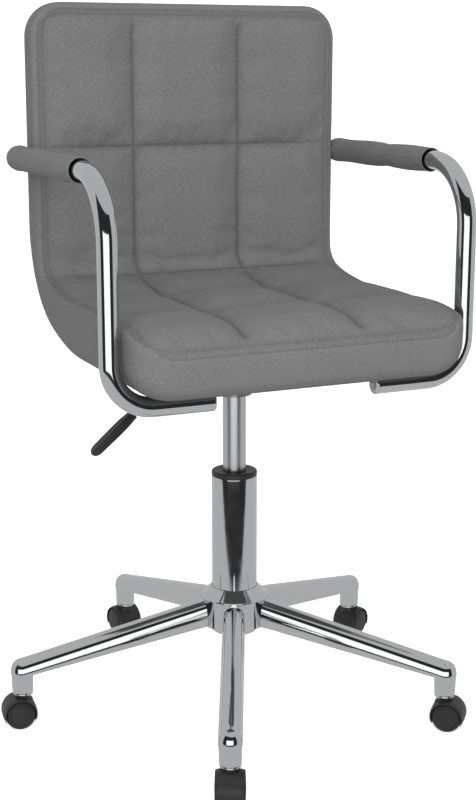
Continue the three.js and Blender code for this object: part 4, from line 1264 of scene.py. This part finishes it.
def hex_bolt(x, y, top):
    """A bolt seen from below: a hexagonal head with a turned washer face over it."""
    angle = np.linspace(0, 2 * math.pi, 7)
    hexagon = np.column_stack([5.6 * np.cos(angle), 5.6 * np.sin(angle)])
    sizes, heights = [0, 0.84, 1, 1, 0], [-4.0, -4.0, -3.3, 0, 0]
    head = np.stack([np.column_stack([hexagon * f, np.full(7, h)]) for f, h in zip(sizes, heights)])
    washer = turned(rounded([(0, -0.9), (7.2, -0.9), (7.2, 0), (0, 0)], 0.3), 32)
    shank = turned(np.array([(0, -1), (2.9, -1), (2.9, 10.5), (0, 10.5)]), 24)
    return [shifted(p, x, y, top) for p in (head, washer, shank)]


class CHAIR_OT_fittings(bpy.types.Operator):
    """Build the height lever and the bolts, and finish the CAD parts that stay"""

    bl_idname = "chair.fittings"
    bl_label = "Lever and Fittings"

    def execute(self, context):
        steel = finishes()["zinc_plated_steel"]
        neck, tip = np.array(NECK), np.array(TIP)
        inside = neck + (tip - neck) * 0.3
        corners = [(14.0, LEVER_Z), (LEVER_BEND, LEVER_Z - 0.5), tuple(neck), tuple(inside)]
        bent = rounded(corners, 24.0, 14)
        path = np.column_stack([bent[:, 0], np.zeros(len(bent)), bent[:, 1]])
        rod = swept(path, circle(3.9, 28), (0.0, 1.0, 0.0))
        rod = np.concatenate([np.broadcast_to(path[:1, None], rod[:1].shape), rod,
                              np.broadcast_to(path[-1:, None], rod[:1].shape)])
        build("lever", [rod], finishes()["ground_chromium"], "lever", ["lever_rod"])
        build(
            "lever_grip", [paddle_points(NECK, TIP)], finishes()["polypropylene"], "lever",
            ["lever_handle"]
        )
        bolts = [f"plate_bolt_{i}" for i in range(1, 5)]
        bolts += [f"arm_seat_bolt_{label}_{i}" for label in SIDES for i in (1, 2)]
        for node in bolts:
            spot = middle(node)
            build(f"{node}_hex", hex_bolt(spot[0], spot[1], 434.9), steel, "seat", [node])
        plain = {"seat_board": "birch_plywood", "mount_plate": "zinc_plated_steel"}
        for name, node in NODES.items():
            if not node.hide_render:
                node.data.materials.clear()
                node.data.materials.append(finishes()[plain.get(name, "zinc_plated_steel")])
        return {"FINISHED"}


# ---- sewing ----------------------------------------------------------------------------


class CHAIR_OT_stitching(bpy.types.Operator):
    """Sew a row of stitches round the edge of the seat and back, one seam band inside the face's edge"""

    bl_idname = "chair.stitching"
    bl_label = "Edge Stitching"

    def execute(self, context):
        sizes = context.scene.chair_cover
        shell = Shell()
        pitch, thick, band = sizes.stitch / MM, sizes.thread / MM, sizes.seam_band / MM
        half, top = FACE_HALF - band, shell.length - band
        low = band + 1.5
        low_radius, high_radius = CORNER_FRONT - band, CORNER_TOP - band
        line = edge_line(half, low, top, low_radius, high_radius)
        along = polyline_map(line)
        count = int(along[-1] / pitch)
        centre_at = (np.arange(count) + 0.5) * along[-1] / count
        t = np.linspace(-0.5, 0.5, 7)
        at = centre_at[:, None] + t[None] * 0.74 * pitch
        u = np.interp(at, along, line[:, 0])
        s = np.interp(at, along, line[:, 1])
        yz = shell.on_face(s) + (0.35 + 0.35 * np.cos(math.pi * t))[None, :, None] * shell.face_normal(s)
        path = np.concatenate([u[..., None], yz], axis=2)
        tangent = np.gradient(path, axis=1)
        tangent /= np.linalg.norm(tangent, axis=2, keepdims=True)
        normal = np.concatenate([np.zeros((*s.shape, 1)), shell.face_normal(s)], axis=2)
        side = np.cross(tangent, normal)
        ring = circle(1.0, 6)
        body = (thick / 2) * np.sqrt(np.clip(1 - (2 * t) ** 4, 0, 1))
        spokes = ring[None, None, :, :1] * side[:, :, None] + ring[None, None, :, 1:] * normal[:, :, None]
        grid = path[:, :, None] + body[None, :, None, None] * spokes
        build("edge_stitches", list(grid), finishes()["spun_thread"], "seat", weld=0.0005)
        return {"FINISHED"}


def edge_line(half, low, top, low_radius, high_radius):
    """A rounded rectangle in the face's flat coordinates, once round."""
    corners = [
        arc((half - low_radius, low + low_radius), (0, -low_radius), (low_radius, 0), 12),
        arc((half - high_radius, top - high_radius), (high_radius, 0), (0, high_radius), 12),
        arc((-half + high_radius, top - high_radius), (0, high_radius), (-high_radius, 0), 12),
        arc((-half + low_radius, low + low_radius), (-low_radius, 0), (0, -low_radius), 12)
    ]
    return np.concatenate([*corners, corners[0][:1]])


# ---- studio ----------------------------------------------------------------------------

CAMERA_AZIMUTH = -24.24  # degrees round from the front, towards the sitter's right
CAMERA_DISTANCE, CAMERA_HEIGHT = 1.7049, 0.7778
CAMERA_PITCH, CAMERA_PAN = 13.0, 0.15
LENS = 65.49
LAMP_DISTANCE, LAMP_HEIGHT, FLOOR_GLOW = 2.2, 1.3, 0.46
FLAG_LOW, FLAG_HIGH = (-16.5, -19.8, -21.6, -23.0, -22.6, -21.0, -17.5), (46.0, 46.0, 42.0, 36.0)


class ChairStudio(bpy.types.PropertyGroup):
    """Light and reflection cards"""

    sky: bpy.props.FloatProperty(name="Sky", description="Strength of the soft sky", default=0.76)
    key: bpy.props.FloatProperty(
        name="Key", description="Power of the soft front light", default=77.0, subtype="POWER"
    )
    dome: bpy.props.FloatProperty(
        name="Dome", description="Brightness of the grey card dome seen in the chrome", default=0.6
    )
    window: bpy.props.FloatProperty(
        name="Window", description="Brightness of the white card seen in the chrome", default=1.55
    )


def card(name, grid, colour, strength, seen_by_camera=False):
    """A studio card in metres. Unless the camera sees it, it shows only in reflections."""
    ids = np.arange(grid.shape[0] * grid.shape[1]).reshape(grid.shape[:2])
    mesh = bpy.data.meshes.new(name)
    mesh.from_pydata(grid.reshape(-1, 3), [], cells(ids))
    mesh.shade_smooth()
    material = bpy.data.materials.new(name)
    material.use_nodes = True
    tree = material.node_tree
    tree.nodes.clear()
    if strength is None:
        shader = add(tree, "BsdfPrincipled", {"Roughness": 0.9, "Emission Strength": FLOOR_GLOW})
        shader.inputs["Base Color"].default_value = (*colour, 1.0)
    else:
        shader = add(tree, "Emission", {"Strength": strength})
        shader.inputs["Color"].default_value = (*colour, 1.0)
    add(tree, "OutputMaterial", {}, {"Surface": (shader, 0)})
    mesh.materials.append(material)
    made = bpy.data.objects.new(name, mesh)
    bpy.context.scene.collection.objects.link(made)
    if not seen_by_camera:
        for ray in ("camera", "diffuse", "shadow", "transmission", "volume_scatter"):
            setattr(made, f"visible_{ray}", False)
    return made


def dome_card(radius, azimuths, low, high, steps=24):
    """Part of a sphere round the chair, in degrees. Azimuth 0 is towards the camera and grows
    to its right; the low and high edges are one elevation, or one for each even azimuth."""
    around = np.linspace(*azimuths, steps)
    edges = [
        np.interp(np.linspace(0, 1, steps), np.linspace(0, 1, np.size(e)), np.atleast_1d(e))
        for e in (low, high)
    ]
    share = np.linspace(0, 1, steps)[:, None]
    elevation = np.radians(edges[0] + share * (edges[1] - edges[0]))
    azimuth = math.radians(CAMERA_AZIMUTH - 90) + np.radians(around)
    flat = radius * np.cos(elevation)
    x, y, z = flat * np.cos(azimuth), flat * np.sin(azimuth), radius * np.sin(elevation)
    return np.stack([x, y, z], axis=2) + AXIS + np.array([0, 0, 0.45])


def floor_disc(radius, rise, height):
    """The floor with its rim curved up into a wall: a quarter circle joins the two."""
    bend = arc((radius, rise), (0, -rise), (rise, 0), 24)
    outline = np.concatenate([[[0.0, 0.0]], bend, [[radius + rise, height]]])
    return turned(outline, 128)


class CHAIR_OT_studio(bpy.types.Operator):
    """Set up the floor, the light, the reflection cards and the camera"""

    bl_idname = "chair.studio"
    bl_label = "Studio"

    def execute(self, context):
        scene = context.scene
        studio = scene.chair_studio
        floor = tuple(scene.chair_colours.floor)
        ground = card("floor", floor_disc(4.0, 1.5, 5.0), floor, None, seen_by_camera=True)
        ground.visible_glossy = False
        ground.visible_diffuse = False
        black, white = (0.03, 0.03, 0.03), (1.0, 1.0, 1.0)
        card("dome_grey", dome_card(9.0, (-180, 180), -89, 89, 64), white, studio.dome)
        card("flag_black", dome_card(8.8, (-68, 62), FLAG_LOW, FLAG_HIGH), black, 1.0)
        card("window_white", dome_card(8.6, (-34, 27), -15.6, 11.5), white, studio.window)
        world = bpy.data.worlds.new("soft_sky")
        scene.world = world
        world.use_nodes = True
        world.node_tree.nodes["Background"].inputs["Color"].default_value = (1, 1, 1, 1)
        world.node_tree.nodes["Background"].inputs["Strength"].default_value = studio.sky
        turn = math.radians(CAMERA_AZIMUTH)
        light = bpy.data.lights.new("front_softbox", "AREA")
        light.shape, light.size, light.size_y = "RECTANGLE", 2.4, 1.8
        light.energy = studio.key
        lamp = bpy.data.objects.new("front_softbox", light)
        aim = Vector((AXIS[0], AXIS[1], 0.5))
        lamp.location = (
            AXIS[0] + math.sin(turn) * LAMP_DISTANCE, AXIS[1] - math.cos(turn) * LAMP_DISTANCE, LAMP_HEIGHT
        )
        lamp.rotation_euler = (aim - lamp.location).to_track_quat("-Z", "Y").to_euler()
        lamp.visible_glossy = False
        scene.collection.objects.link(lamp)
        data = bpy.data.cameras.new("studio_camera")
        data.lens, data.sensor_width, data.sensor_fit = LENS, 36.0, "AUTO"
        data.clip_start, data.clip_end = 0.05, 60.0
        camera = bpy.data.objects.new("studio_camera", data)
        camera.location = (
            AXIS[0] + math.sin(turn) * CAMERA_DISTANCE, AXIS[1] - math.cos(turn) * CAMERA_DISTANCE,
            CAMERA_HEIGHT
        )
        heading = turn + math.radians(-CAMERA_PAN)
        pitch = math.radians(CAMERA_PITCH)
        forward = Vector(
            (-math.sin(heading) * math.cos(pitch), math.cos(heading) * math.cos(pitch), -math.sin(pitch))
        )
        camera.rotation_euler = forward.to_track_quat("-Z", "Y").to_euler()
        scene.collection.objects.link(camera)
        scene.camera = camera
        scene.view_settings.view_transform = "Standard"
        return {"FINISHED"}


# ---- panel and running -----------------------------------------------------------------


class CHAIR_PT_panel(bpy.types.Panel):
    """The chair's pieces in the sidebar"""

    bl_idname = "CHAIR_PT_panel"
    bl_label = "Swivel Chair"
    bl_space_type = "VIEW_3D"
    bl_region_type = "UI"
    bl_category = "Chair"

    def draw(self, context):
        layout = self.layout
        for operator in OPERATORS:
            layout.operator(operator.bl_idname)
        for name in GROUPS:
            box = layout.box()
            group = getattr(context.scene, name)
            for key in group.__annotations__:
                box.prop(group, key)


OPERATORS = (
    CHAIR_OT_base, CHAIR_OT_column, CHAIR_OT_casters, CHAIR_OT_arms, CHAIR_OT_cover, CHAIR_OT_sleeves,
    CHAIR_OT_stitching, CHAIR_OT_fittings, CHAIR_OT_studio
)
GROUPS = {
    "chair_cover": ChairCoverSizes, "chair_metal": ChairMetalSizes, "chair_colours": ChairColours,
    "chair_studio": ChairStudio
}
CLASSES = (*GROUPS.values(), *OPERATORS, CHAIR_PT_panel)


def register():
    for cls in CLASSES:
        bpy.utils.register_class(cls)
    for name, group in GROUPS.items():
        setattr(bpy.types.Scene, name, bpy.props.PointerProperty(type=group))


def unregister():
    for name in GROUPS:
        delattr(bpy.types.Scene, name)
    for cls in reversed(CLASSES):
        bpy.utils.unregister_class(cls)


def main():
    register()
    for operator in OPERATORS:
        group, name = operator.bl_idname.split(".")
        getattr(getattr(bpy.ops, group), name)()


if __name__ == "__main__":
    main()
